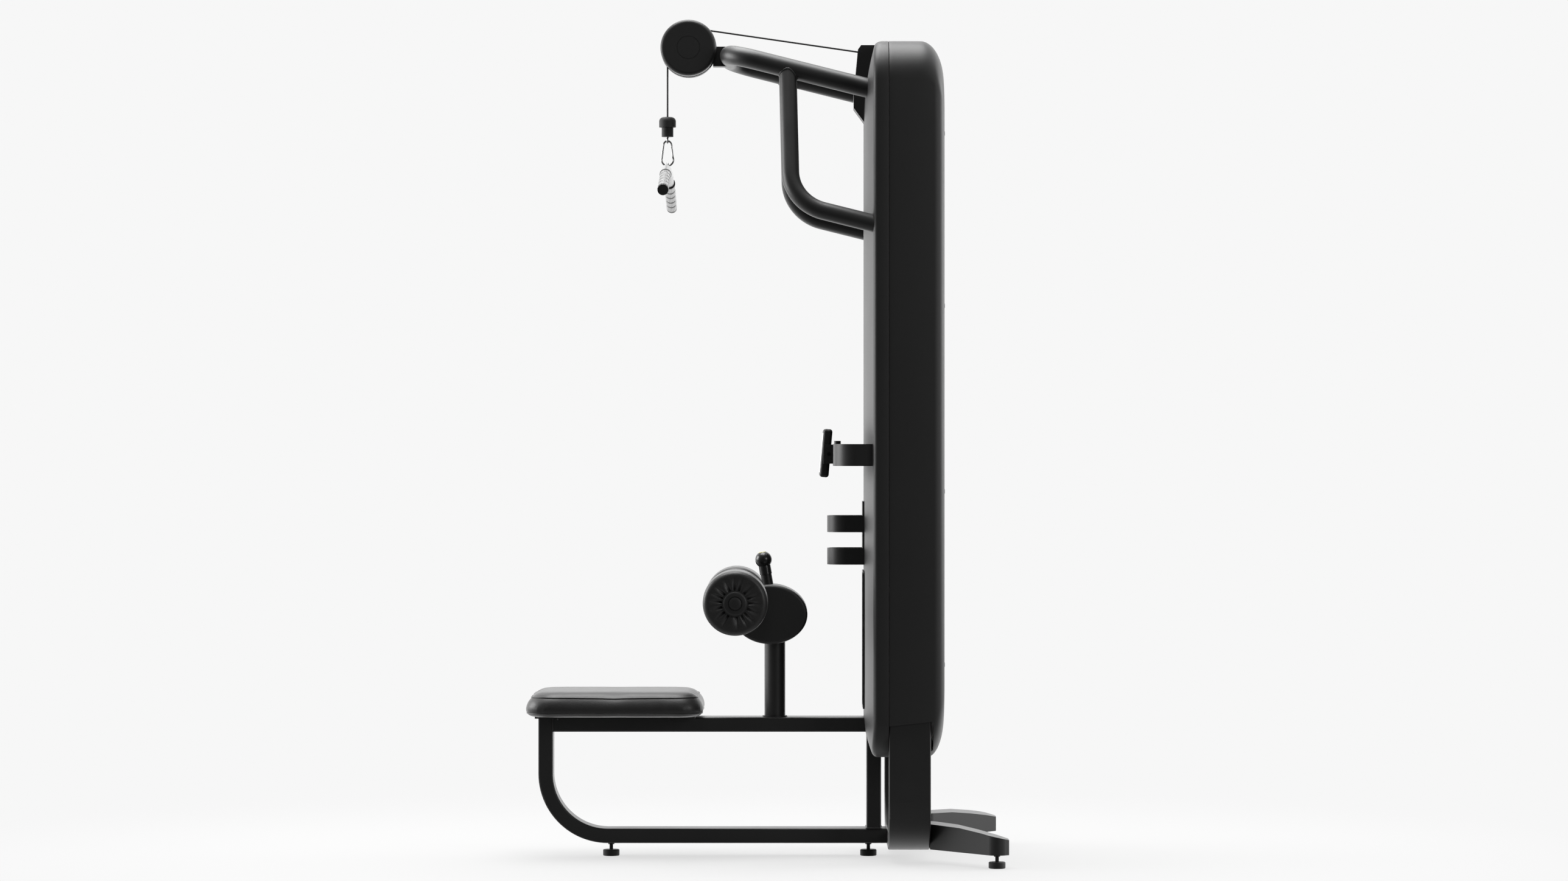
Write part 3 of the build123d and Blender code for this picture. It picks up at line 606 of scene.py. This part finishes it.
# %% Rear shell
def rear_shell():
    """The rear moulding: hollow, open at the seam, with a notch at each foot for the tube frame."""
    slices = seam_slices(1)
    start = SEAM + 4 * MM
    steps = 29
    for step in range(1, steps + 1):
        x = start + (BACK - start) * math.sin(math.radians(90 * step / steps))
        side = back_round(x, BACK, 30 * MM, 28 * MM - BELLY) + belly(x)
        top = back_round(x, BACK, 63 * MM, 110 * MM)
        bottom = back_round(x, BACK, 45 * MM, 108 * MM)
        slices.append(slice_at(x, side, top, bottom, CORNER + side * 0.3))
    shell = skin("rear_shell_skin", slices, finishes["shell_plastic"])
    hollow = skin("hollow", hollow_slices(), None)
    return sharp_edges(carve(shell, hollow, *foot_notches()))


def hollow_slices():
    """The space inside the rear shell, one wall smaller than its outside."""
    slices = []
    start = SEAM - 2 * MM
    end = BACK - WALL
    steps = 13
    for step in range(steps + 1):
        x = start + (end - start) * math.sin(math.radians(90 * step / steps))
        side = back_round(x, end, 28 * MM, 22 * MM) + WALL * 0.9 + belly(x)
        top = back_round(x, end, 60 * MM, 106 * MM) + WALL
        bottom = back_round(x, end, 42 * MM, 104 * MM) + WALL
        slices.append(slice_at(x, side, top, bottom))
    return slices


def foot_notches():
    """Two cutters with a sloping top, where the tube frame passes under the shell's lower corners."""
    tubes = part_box("lower_loop")[1]
    front, back, foot = SEAM - 2 * MM, tubes[0] + 7 * MM, LOW - 5 * MM
    outline = [(front, foot), (back, foot), (back, LOW + 102 * MM), (front, LOW + 89 * MM)]
    notches = []
    for near in (-1, 1):
        ends = sorted((near * (tubes[1] - 45 * MM), near * (HALF + 5 * MM)))
        notches.append(skin("notch", [[(x, y, z) for x, z in outline] for y in ends], None))
    return notches


rear_skin = rear_shell()
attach(rear_skin, "root")
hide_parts("rear_shell")
print("rear shell:", len(rear_skin.data.polygons), "faces")


# %% Front shell
def front_height(y, z):
    """X of the crowned front face at a point."""
    crown = CROWN * min(abs(y) / CROWN_HALF, 1.03) ** 2
    above = z - (HIGH - TOP_LEAN[0])
    below = LOW + FOOT_LEAN[0] - z
    ease = circle_ease(above, TOP_LEAN[1]) + circle_ease(below, FOOT_LEAN[1])
    return FRONT + (crown ** 3 + ease ** 3) ** (1 / 3)


def circle_ease(run, radius):
    """How far an arc has left its tangent after a run along it."""
    run = max(run, 0.0)
    return radius - math.sqrt(radius * radius - run * run)


def front_face_slices(wall):
    """From the side wall round the edge and in over the crowned face."""
    slices = []
    limit = SEAM - 3 * MM
    for step in range(9):
        a = math.radians(90 * step / 8)
        inset = wall + ROLL * (1 - math.cos(a))
        ring = []
        for _, y, z in slice_at(0, inset, inset, inset):
            face = min(front_height(y, z) + wall, limit - 2 * MM)
            fuller = 1.0 + 0.6 * smooth_step(HIGH - 120 * MM, HIGH, z)
            size = min(ROLL * fuller, limit - face)
            ring.append((face + size * (1 - math.sin(a)), y, z))
        slices.append(ring)
    for inset in (16, 24, 36, 52, 72, 95, 120, 150, 185, 225, 260, 285):
        q = wall + inset * MM
        ring = slice_at(0, q, q, q)
        slices.append([(min(front_height(y, z) + wall, limit - 2 * MM), y, z) for _, y, z in ring])
    return slices


def smooth_step(a, b, t):
    """Goes from 0 at a to 1 at b, level at both ends."""
    t = min(max((t - a) / (b - a), 0.0), 1.0)
    return t * t * (3 - 2 * t)


def front_shell():
    """The front moulding, with holes for the stack's window, the seat beam and the upper pulley."""
    slices = seam_slices(-1) + front_face_slices(0.0)
    shell = skin("front_shell_skin", slices, finishes["shell_plastic"])
    inside = [slice_at(SEAM + 2 * MM, WALL, WALL, WALL)] + front_face_slices(WALL)
    hollow = skin("hollow", inside, None)
    before, behind = FRONT - 10 * MM, SEAM + 5 * MM
    bezel_low, bezel_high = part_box("window_bezel")
    lap = 0.3 * MM           # how far the bezel covers the edge of its hole
    hole = rounded_rect(bezel_high[1] - lap, bezel_low[2] + lap, bezel_high[2] - lap, 12 * MM)
    window = skin("window", [[(x, y, z) for y, z in hole] for x in (before, FRONT + 30 * MM)], None)
    beam_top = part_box("seat_beam")[1][2]
    beam_gap = block((before, -41 * MM, LOW - 9 * MM), (behind, 41 * MM, beam_top + 1 * MM))
    wheel_low, wheel_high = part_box("tower_pulley")
    slot = block((before, -26 * MM, wheel_low[2] - 10 * MM), (behind, 26 * MM, wheel_high[2] + 8 * MM))
    return sharp_edges(carve(shell, hollow, window, beam_gap, slot))


front_skin = front_shell()
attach(front_skin, "root")
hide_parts("front_shell")
print("front shell:", len(front_skin.data.polygons), "faces")

# %% [markdown]
# ## The seat cushion
# A seat pad is a board with foam on it and a cover pulled tight over both. The foam bulges between the
# seams, so a cloth simulation blows a slightly smaller pad up inside its cover. The piping comes after
# it, because the remesh would swallow a cord that thin: each piece of piping is laid on the finished pad.


# %% Cushion by cloth simulation
PAD_CORNER = 58          # radius of the pad's corners seen from above, in millimetres
PAD_TOP = 42             # radius of its top edge


def pad_slices(low, high, shrink):
    """Rounded rectangles up the pad: a small radius at its foot and a large one at its top edge."""
    x0, y0, z0 = low
    x1, y1, z1 = high
    cx, cy = (x0 + x1) / 2, (y0 + y1) / 2
    slices = []
    marks = [(z0, 12), (z0 + 3, 5), (z0 + 8, 1.5), (z0 + 14, 0), (z0 + 24, 0)]
    for step in range(1, 8):
        a = math.radians(90 * step / 7)
        marks.append((z1 - PAD_TOP + PAD_TOP * math.sin(a), PAD_TOP * (1 - math.cos(a))))
    for z, inset in marks:
        outline = rounded_rect((y1 - y0) / 2 - inset - shrink, x0 + inset + shrink - cx,
                               x1 - inset - shrink - cx, PAD_CORNER - inset * 0.4, 8, 8)
        slices.append([((x + cx) * MM, (y + cy) * MM, z * MM) for y, x in outline])
    return slices


def inflate(piece, voxel, pressure, cap, frames=20):
    """Remeshes a closed form and blows it up as cloth, with no point moving further than cap."""
    remesh = piece.modifiers.new("remesh", "REMESH")
    remesh.mode = "VOXEL"
    remesh.voxel_size = voxel
    settle(piece)
    start = [v.co.copy() for v in piece.data.vertices]
    cloth = piece.modifiers.new("cloth", "CLOTH")
    cloth.settings.use_pressure = True
    cloth.settings.uniform_pressure_force = pressure
    cloth.settings.tension_stiffness = 20
    cloth.settings.effector_weights.gravity = 0
    scene = bpy.context.scene
    for number in range(1, frames + 1):
        scene.frame_set(number)
    settle(piece)
    scene.frame_set(1)
    for vertex, origin in zip(piece.data.vertices, start):
        move = vertex.co - origin
        if move.length > cap:
            vertex.co = origin + move * (cap / move.length)


def fill_box(piece, low, high):
    """Stretches a piece in X and Y until it is as long and as wide as a box."""
    for axis in (0, 1):
        spots = [v.co[axis] for v in piece.data.vertices]
        first, last = min(spots), max(spots)
        size = (high[axis] - low[axis]) / (last - first)
        for vertex in piece.data.vertices:
            vertex.co[axis] = low[axis] + (vertex.co[axis] - first) * size


def seat_cushion():
    """The pad, started a little small so that the cloth can swell to the CAD size."""
    low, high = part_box("seat_pad")
    shrink = 6.0             # millimetres on each side
    lowest = [v / MM for v in low]
    highest = [v / MM for v in high]
    highest[2] -= shrink
    pad = skin("seat_cushion", pad_slices(lowest, highest, shrink), finishes["seat_cover"])
    inflate(pad, voxel=6 * MM, pressure=4.0, cap=8 * MM)
    fill_box(pad, low, high)
    for vertex in pad.data.vertices:
        vertex.co.z = min(max(vertex.co.z, low[2]), high[2] + 2 * MM)
    smooth = pad.modifiers.new("smooth", "CORRECTIVE_SMOOTH")
    smooth.use_only_smooth = True
    smooth.iterations = 12
    rounder = pad.modifiers.new("rounder", "SUBSURF")
    rounder.levels = 1
    settle(pad)
    pad.data.polygons.foreach_set("use_smooth", [True] * len(pad.data.polygons))
    pad.data.materials.clear()
    pad.data.materials.append(finishes["seat_cover"])
    return pad


cushion = seat_cushion()
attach(cushion, "root")
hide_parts("seat_pad")
print("cushion points:", len(cushion.data.vertices))


# %% Piping laid on the cushion
def laid_on(piece, points, lift):
    """Moves each point to the nearest place on a piece, and a little off it."""
    graph = bpy.context.evaluated_depsgraph_get()
    tree = BVHTree.FromObject(piece, graph)
    laid = []
    for point in points:
        spot, normal, _, _ = tree.find_nearest(Vector(point))
        laid.append(spot + normal * lift)
    return laid


def piping(name, drop, inset, radius):
    """A cord round the pad, a drop below its top and an inset in from its edge."""
    low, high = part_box("seat_pad")
    cx = (low[0] + high[0]) / 2
    outline = rounded_rect(high[1] - inset, low[0] + inset - cx, high[0] - inset - cx,
                           PAD_CORNER * MM, 16, 24)
    z = high[2] - drop
    around = [(x + cx, y, z) for y, x in outline]
    cord = tube(name, laid_on(cushion, around, 0.2 * MM), radius, finishes["seat_cover"], 10, closed=True)
    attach(cord, "root")


piping("seat_piping_top", 14 * MM, 16 * MM, 2.2 * MM)
piping("seat_piping_foot", 58 * MM, 1 * MM, 1.6 * MM)
print("piping laid")

# %% [markdown]
# ## The thigh rollers
# Each roller is a foam tube in a leatherette sleeve. The sleeve is longer than the foam, so its ends are
# gathered round the hub cap into folds that get deeper towards the middle, like a drawstring bag. The
# folds are rings whose points move along the axle: a sum of waves with uneven spacing.


# %% Gathered rollers
FOLD_WAVES = 8           # each wave round the end has two creases
UNEVEN = 2.6             # how much the spacing of the creases varies
EDGE = 15 * MM           # radius of the roller's outer edge
SLACK = 0.8 * MM         # how much thinner the roller is at its ends than in its middle
DISH = 1.5 * MM          # how far the gathered end sinks at the hub
CREASE = 11 * MM         # how much deeper it sinks in a crease
PUFF = 3 * MM            # how far it bulges out halfway between edge and hub
PINCH = 1.2 * MM         # how far a crease draws the sleeve in towards the axle


def fold_depth(angle, seed):
    """Between 0 on a fold's crest and 1 in the crease beside it, unevenly round the circle."""
    picks = random.Random(seed)
    warp = sum(picks.uniform(0.1, 0.28) * math.sin(k * angle + picks.uniform(0, 6.28)) for k in (1, 2, 3, 5))
    wave = abs(math.sin(FOLD_WAVES * angle + warp * UNEVEN))
    return (1 - wave) ** 1.2


def roller(name, node_name, side, seed):
    """A sleeve round the axle: gathered end, rounded edge, long skin, and the same again mirrored."""
    low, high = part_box(node_name)
    cx, cz = (low[0] + high[0]) / 2, (low[2] + high[2]) / 2
    radius = (high[0] - low[0]) / 2
    inner, outer = sorted((abs(low[1]), abs(high[1])))
    length = outer - inner
    bore = 17 * MM
    profile = [(0.0, bore, 0.0)]
    steps = 12
    for k in range(1, steps + 1):
        t = k / steps
        profile.append((2 * MM * math.sin(math.pi * t), bore + (radius - EDGE - bore) * t, 1 - t))
    for k in range(1, 8):
        a = math.radians(90 * k / 8)
        profile.append((EDGE * (1 - math.cos(a)), radius - EDGE + (EDGE - SLACK) * math.sin(a), 0.0))
    for k in range(1, 16):
        t = k / 16
        swell = SLACK * math.sin(math.pi * t)
        profile.append((EDGE + (length - 2 * EDGE) * t, radius - SLACK + swell, 0.0))
    back = [(length - along, r, fold) for along, r, fold in reversed(profile[:steps + 8])]
    sides = 288
    rings = []
    for along, r, fold in profile + back:
        ring = []
        for k in range(sides):
            a = 2 * math.pi * k / sides
            crease = fold_depth(a, seed + (along > length / 2))
            sink = fold * (DISH + CREASE * crease) - PUFF * math.sin(math.pi * fold)
            y = along + (sink if along < length / 2 else -sink)
            pull = r - min(fold * 1.5, 1.0) * crease * PINCH
            ring.append((cx + pull * math.cos(a), side * (inner + y), cz + pull * math.sin(a)))
        rings.append(ring)
    return skin(name, rings, finishes["roller_cover"], closed=True)


def hub_cap(name, node_name, side):
    """A round cap with a raised rim and a button in its middle, on the roller's outer end."""
    low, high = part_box(node_name)
    place = ((low[0] + high[0]) / 2, side * max(abs(low[1]), abs(high[1])), (low[2] + high[2]) / 2)
    # distance out along the axle and radius, in millimetres
    rise = [(-9, 17.2), (-3, 33.5), (0, 34.5), (4, 34), (7.2, 31.5), (8.6, 27), (8.8, 19.5), (6.8, 18.2),
            (6.6, 17.2), (9.4, 16), (10.4, 13), (10.8, 7), (10.9, 0.5)]
    profile = [(a * MM, r * MM) for a, r in rise]
    return sharp_edges(lathe(name, profile, place, (0, side, 0), finishes["cover_plastic"]), 40)


for name, body, side, seed in (("roller_near", "near_roller", -1, 11), ("roller_far", "far_roller", 1, 23)):
    sleeve = roller(name + "_sleeve", name, side, seed)
    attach(sleeve, body)
    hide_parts(name)
    cap = hub_cap(name + "_cap", name, side)
    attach(cap, body)
print("rollers ready")

# %% [markdown]
# ## The pod between the rollers
# The rollers turn up and down on a drum-shaped pod. Its outline is an ellipse stretched to take in the
# roller axle, and its rim is rolled over by nine millimetres. The slot in its underside lets the post in.


# %% Pod
POD = (14, 663, 102, 81)         # the drum's centre and its two radii, in millimetres
BOSS = (-79, 700, 29.5, 29.5)    # the same of the boss round the roller axle
POD_RIM = 9                      # radius of the drum's rolled rim
POD_WALL = 4


def pod_outline(inset):
    """Hull round the drum and the axle boss, shrunk by inset."""
    points = []
    for x, z, wide, high in (POD, BOSS):
        for k in range(160):
            a = 2 * math.pi * k / 160
            points.append((x + (wide - inset) * math.cos(a), z + (high - inset) * math.sin(a)))
    hull = [points[i] for i in convex_hull_2d(points)]
    return resampled(hull, 180)


def resampled(loop, count):
    """The same closed outline with evenly spaced points, starting from its rightmost one."""
    first = max(range(len(loop)), key=lambda i: loop[i][0])
    loop = loop[first:] + loop[:first]
    spans = [math.dist(loop[i], loop[(i + 1) % len(loop)]) for i in range(len(loop))]
    total = sum(spans)
    made = []
    i, gone = 0, 0.0
    for k in range(count):
        target = total * k / count
        while gone + spans[i] < target:
            gone += spans[i]
            i += 1
        t = (target - gone) / spans[i]
        a, b = loop[i], loop[(i + 1) % len(loop)]
        made.append((a[0] + (b[0] - a[0]) * t, a[1] + (b[1] - a[1]) * t))
    return made


def pod():
    """The hollow drum, from one rolled rim to the other, with a slot in its underside."""
    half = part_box("pod_shell")[1][1] / MM
    rings = []
    for sign, order in ((-1, range(0, 9)), (1, range(8, -1, -1))):
        for step in order:
            a = math.radians(90 * step / 8)
            inset = POD_RIM * (1 - math.sin(a))
            y = sign * (half - POD_RIM * (1 - math.cos(a)))
            rings.append([(x * MM, y * MM, z * MM) for x, z in pod_outline(inset)])
    body = skin("pod_skin", rings, finishes["cover_plastic"])
    ends = (POD_WALL - half, half - POD_WALL)
    inside = [[(x * MM, y * MM, z * MM) for x, z in pod_outline(POD_WALL)] for y in ends]
    hollow = skin("hollow", inside, None)
    slot = block((-62 * MM, -30.5 * MM, 570 * MM), (102 * MM, 30.5 * MM, 640 * MM))
    return sharp_edges(carve(body, hollow, slot))


pod_skin = pod()
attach(pod_skin, "pad_arm")
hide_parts("pod_shell")
print("pod:", len(pod_skin.data.polygons), "faces")

# %% [markdown]
# ## Cable, grips and the stop
# The cable is steel rope in a black nylon coat. Between the arm and the stop it gets longer as the bar
# comes down, so that run is a tube that blends from the frame to the cable's end, and the run inside the
# tower does the same towards the weight stack. The grips are turned from steel with rings and a knurl.


# %% Cable runs
def straight_run(name, node_name):
    """An upright piece of cable, a tube down the middle of a CAD node's box, in that node's place."""
    low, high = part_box(node_name)
    x = (low[0] + high[0]) / 2
    steps = 60
    points = [(x, 0, high[2] + (low[2] - high[2]) * k / steps) for k in range(steps + 1)]
    run = tube(name, points, (high[0] - low[0]) / 2, finishes["cable_coat"], 14)
    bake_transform(run)
    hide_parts(node_name)


straight_run("cable_drop_run", "cable_drop")
straight_run("cable_rise_run", "cable_rise")
print("cable runs ready")


# %% Grips
GRIP_Y = 210 * MM        # where a grip starts, out from the bar's middle
GRIP_LONG = 242.7 * MM
GRIP_R = 15.0            # its radius in millimetres, and those of its chamfered end and of its bore
GRIP_END_R = 14.2
GRIP_BORE_R = 12.4
GRIP_STANDS = 29.3 * MM  # height of a grip's tilted end face


def bar_line():
    """A point on the bar's sloping half and the direction out along it."""
    low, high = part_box("bar_grips")
    fall = high[2] - low[2]
    x = (low[0] + high[0]) / 2
    out = Vector((0, high[1] - GRIP_Y, -(fall - GRIP_STANDS)))
    out.normalize()
    lift = GRIP_R * MM * out.y
    return Vector((x, GRIP_Y, high[2] - lift)), out


def grip_profile():
    """Five knurled bands with three small grooves between each two."""
    profile = [(0.0, GRIP_BORE_R * MM), (0.0, GRIP_END_R * MM), (0.8 * MM, GRIP_R * MM)]
    bands = 5
    step = GRIP_LONG / bands
    groove = (0.0, 1.1, 1.1, 0.0)      # depths along one groove, 1.1 millimetres apart
    for band in range(bands):
        begin = band * step
        if band:
            for k, dip in enumerate(groove * 3):
                profile.append((begin - 6 * MM + k * 1.1 * MM, (GRIP_R - dip) * MM))
        for k in range(1, 8):
            profile.append((begin + 8 * MM + (step - 16 * MM) * k / 8, GRIP_R * MM))
    profile.append((GRIP_LONG - 0.8 * MM, GRIP_R * MM))
    profile += [(GRIP_LONG, GRIP_END_R * MM), (GRIP_LONG, GRIP_BORE_R * MM)]
    return profile


def grip(side):
    """A grip, with its angle and length at each point kept for the knurl's pattern."""
    start, out = bar_line()
    start = Vector((start.x, side * start.y, start.z))
    out = Vector((0, side * out.y, out.z))
    piece = lathe("grip_near" if side < 0 else "grip_far", grip_profile(), start, out, knurl, 64)
    side_dir = out.orthogonal().normalized()
    up = out.cross(side_dir)
    around, along = [], []
    for vertex in piece.data.vertices:
        arm = vertex.co - start
        around.append(math.atan2(arm.dot(up), arm.dot(side_dir)) / math.pi)
        along.append(arm.dot(out))
    for label, values in (("around", around), ("along", along)):
        piece.data.attributes.new(label, "FLOAT", "POINT").data.foreach_set("value", values)
    return sharp_edges(piece, 30)


for side in (-1, 1):
    sleeve = grip(side)
    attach(sleeve, "bar")
    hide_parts("bar_grips")
print("grips ready")

# %% [markdown]
# ## Weld beads
# Welded joints show a low, rippled bead where two tubes meet. Each bead here is a thin tube whose radius
# pulses along its length, laid along the line where the two pieces touch.


# %% Welds
BEAD_SIDES = 8
RIPPLE = 0.16            # how much the bead's radius pulses


def bead(name, points, radius=2.6 * MM, closed=True):
    """A rippled tube through the points."""
    cord = tube(name, points, radius, finishes["frame_paint"], BEAD_SIDES, closed)
    for i, vertex in enumerate(cord.data.vertices):
        ring = i // BEAD_SIDES
        centre = Vector(points[ring])
        vertex.co = centre + (vertex.co - centre) * (1 + RIPPLE * math.sin(ring * 2.2))
    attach(cord, "root")


def ring_of(half_x, half_y, x, z):
    """A level ring round an upright square tube."""
    outline = rounded_rect(half_y, -half_x, half_x, 5 * MM, 4, 14)
    return [(x + along, across, z) for across, along in outline]


def where_tubes_meet(start, run, radius, axis_point, axis, big):
    """Points on a thin tube's skin that also lie on a thicker tube's skin."""
    run = Vector(run).normalized()
    axis = Vector(axis).normalized()
    side = run.orthogonal().normalized()
    up = run.cross(side)
    points = []
    for k in range(64):
        a = 2 * math.pi * k / 64
        here = Vector(start) + (side * math.cos(a) + up * math.sin(a)) * radius
        gap = here - Vector(axis_point)
        flat_gap = gap - axis * gap.dot(axis)
        flat_run = run - axis * run.dot(axis)
        qa, qb = flat_run.dot(flat_run), flat_gap.dot(flat_run)
        qc = flat_gap.dot(flat_gap) - big * big
        t = (-qb + math.sqrt(max(qb * qb - qa * qc, 0.0))) / qa
        points.append(here + run * t)
    return points


def frame_welds():
    """Beads round the post's foot, up the bent column and where the braces meet the arm."""
    post_low, post_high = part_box("mid_post")
    px = (post_low[0] + post_high[0]) / 2
    hx, hy = (post_high[0] - post_low[0]) / 2, post_high[1]
    bead("weld_post_foot", ring_of(hx, hy, px, post_low[2] + 1 * MM))
    beam_low, beam_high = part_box("seat_beam")
    for y in (-hy, hy):
        line = [(beam_low[0], y, beam_low[2] + (beam_high[2] - beam_low[2]) * k / 20) for k in range(21)]
        bead("weld_column_" + ("near" if y < 0 else "far"), line, 1.6 * MM, closed=False)
    slope = -0.2504          # fall of the arm for each metre towards the tower
    arm_y = 0.140
    arm_r, brace_r = 26.5 * MM, 24 * MM
    root = Vector((SEAM, arm_y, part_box("upper_loop")[1][2] - arm_r - 0.5 * MM))
    brace_x = 0.062
    for side in (-1, 1):
        axis_point = (root.x, side * root.y, root.z)
        start = (brace_x, side * arm_y, root.z - slope * (root.x - brace_x))
        run = (0.009, side * 0.126, -0.372)      # down along the brace
        ring = where_tubes_meet(start, run, brace_r, axis_point, (1, 0, slope), arm_r)
        bead("weld_brace_" + ("near" if side < 0 else "far"), ring, 2.4 * MM)


frame_welds()
print("welds laid")

# %% [markdown]
# ## Floor
# The floor is a disc that turns clear towards its rim, so the white room shows through and no horizon
# cuts the picture.


# %% Floor
def floor_disc():
    """A grey disc, three tenths solid under the machine and clear towards its rim."""
    f = Finish("floor", Roughness=0.9)
    reach = node(f.tree, "ShaderNodeVectorMath", {"operation": "LENGTH"}, {0: f.place}, "Value")
    clear = node(f.tree, "ShaderNodeMapRange", {"interpolation_type": "SMOOTHSTEP"},
                 {"Value": reach, "From Min": 0.9, "From Max": 2.6, "To Min": 0.3, "To Max": 0.0}, "Result")
    f.shader.inputs["Base Color"].default_value = (0.42, 0.42, 0.42, 1)
    f.vary("Alpha", clear)
    disc = bpy.data.meshes.new("floor")
    count = 96
    radius = 3
    turn = [2 * math.pi * k / count for k in range(count)]
    rim = [(radius * math.cos(a), radius * math.sin(a), 0) for a in turn]
    disc.from_pydata(rim, [], [tuple(range(count))])
    disc.materials.append(f.material)
    floor = bpy.data.objects.new("floor", disc)
    bpy.context.scene.collection.objects.link(floor)


floor_disc()
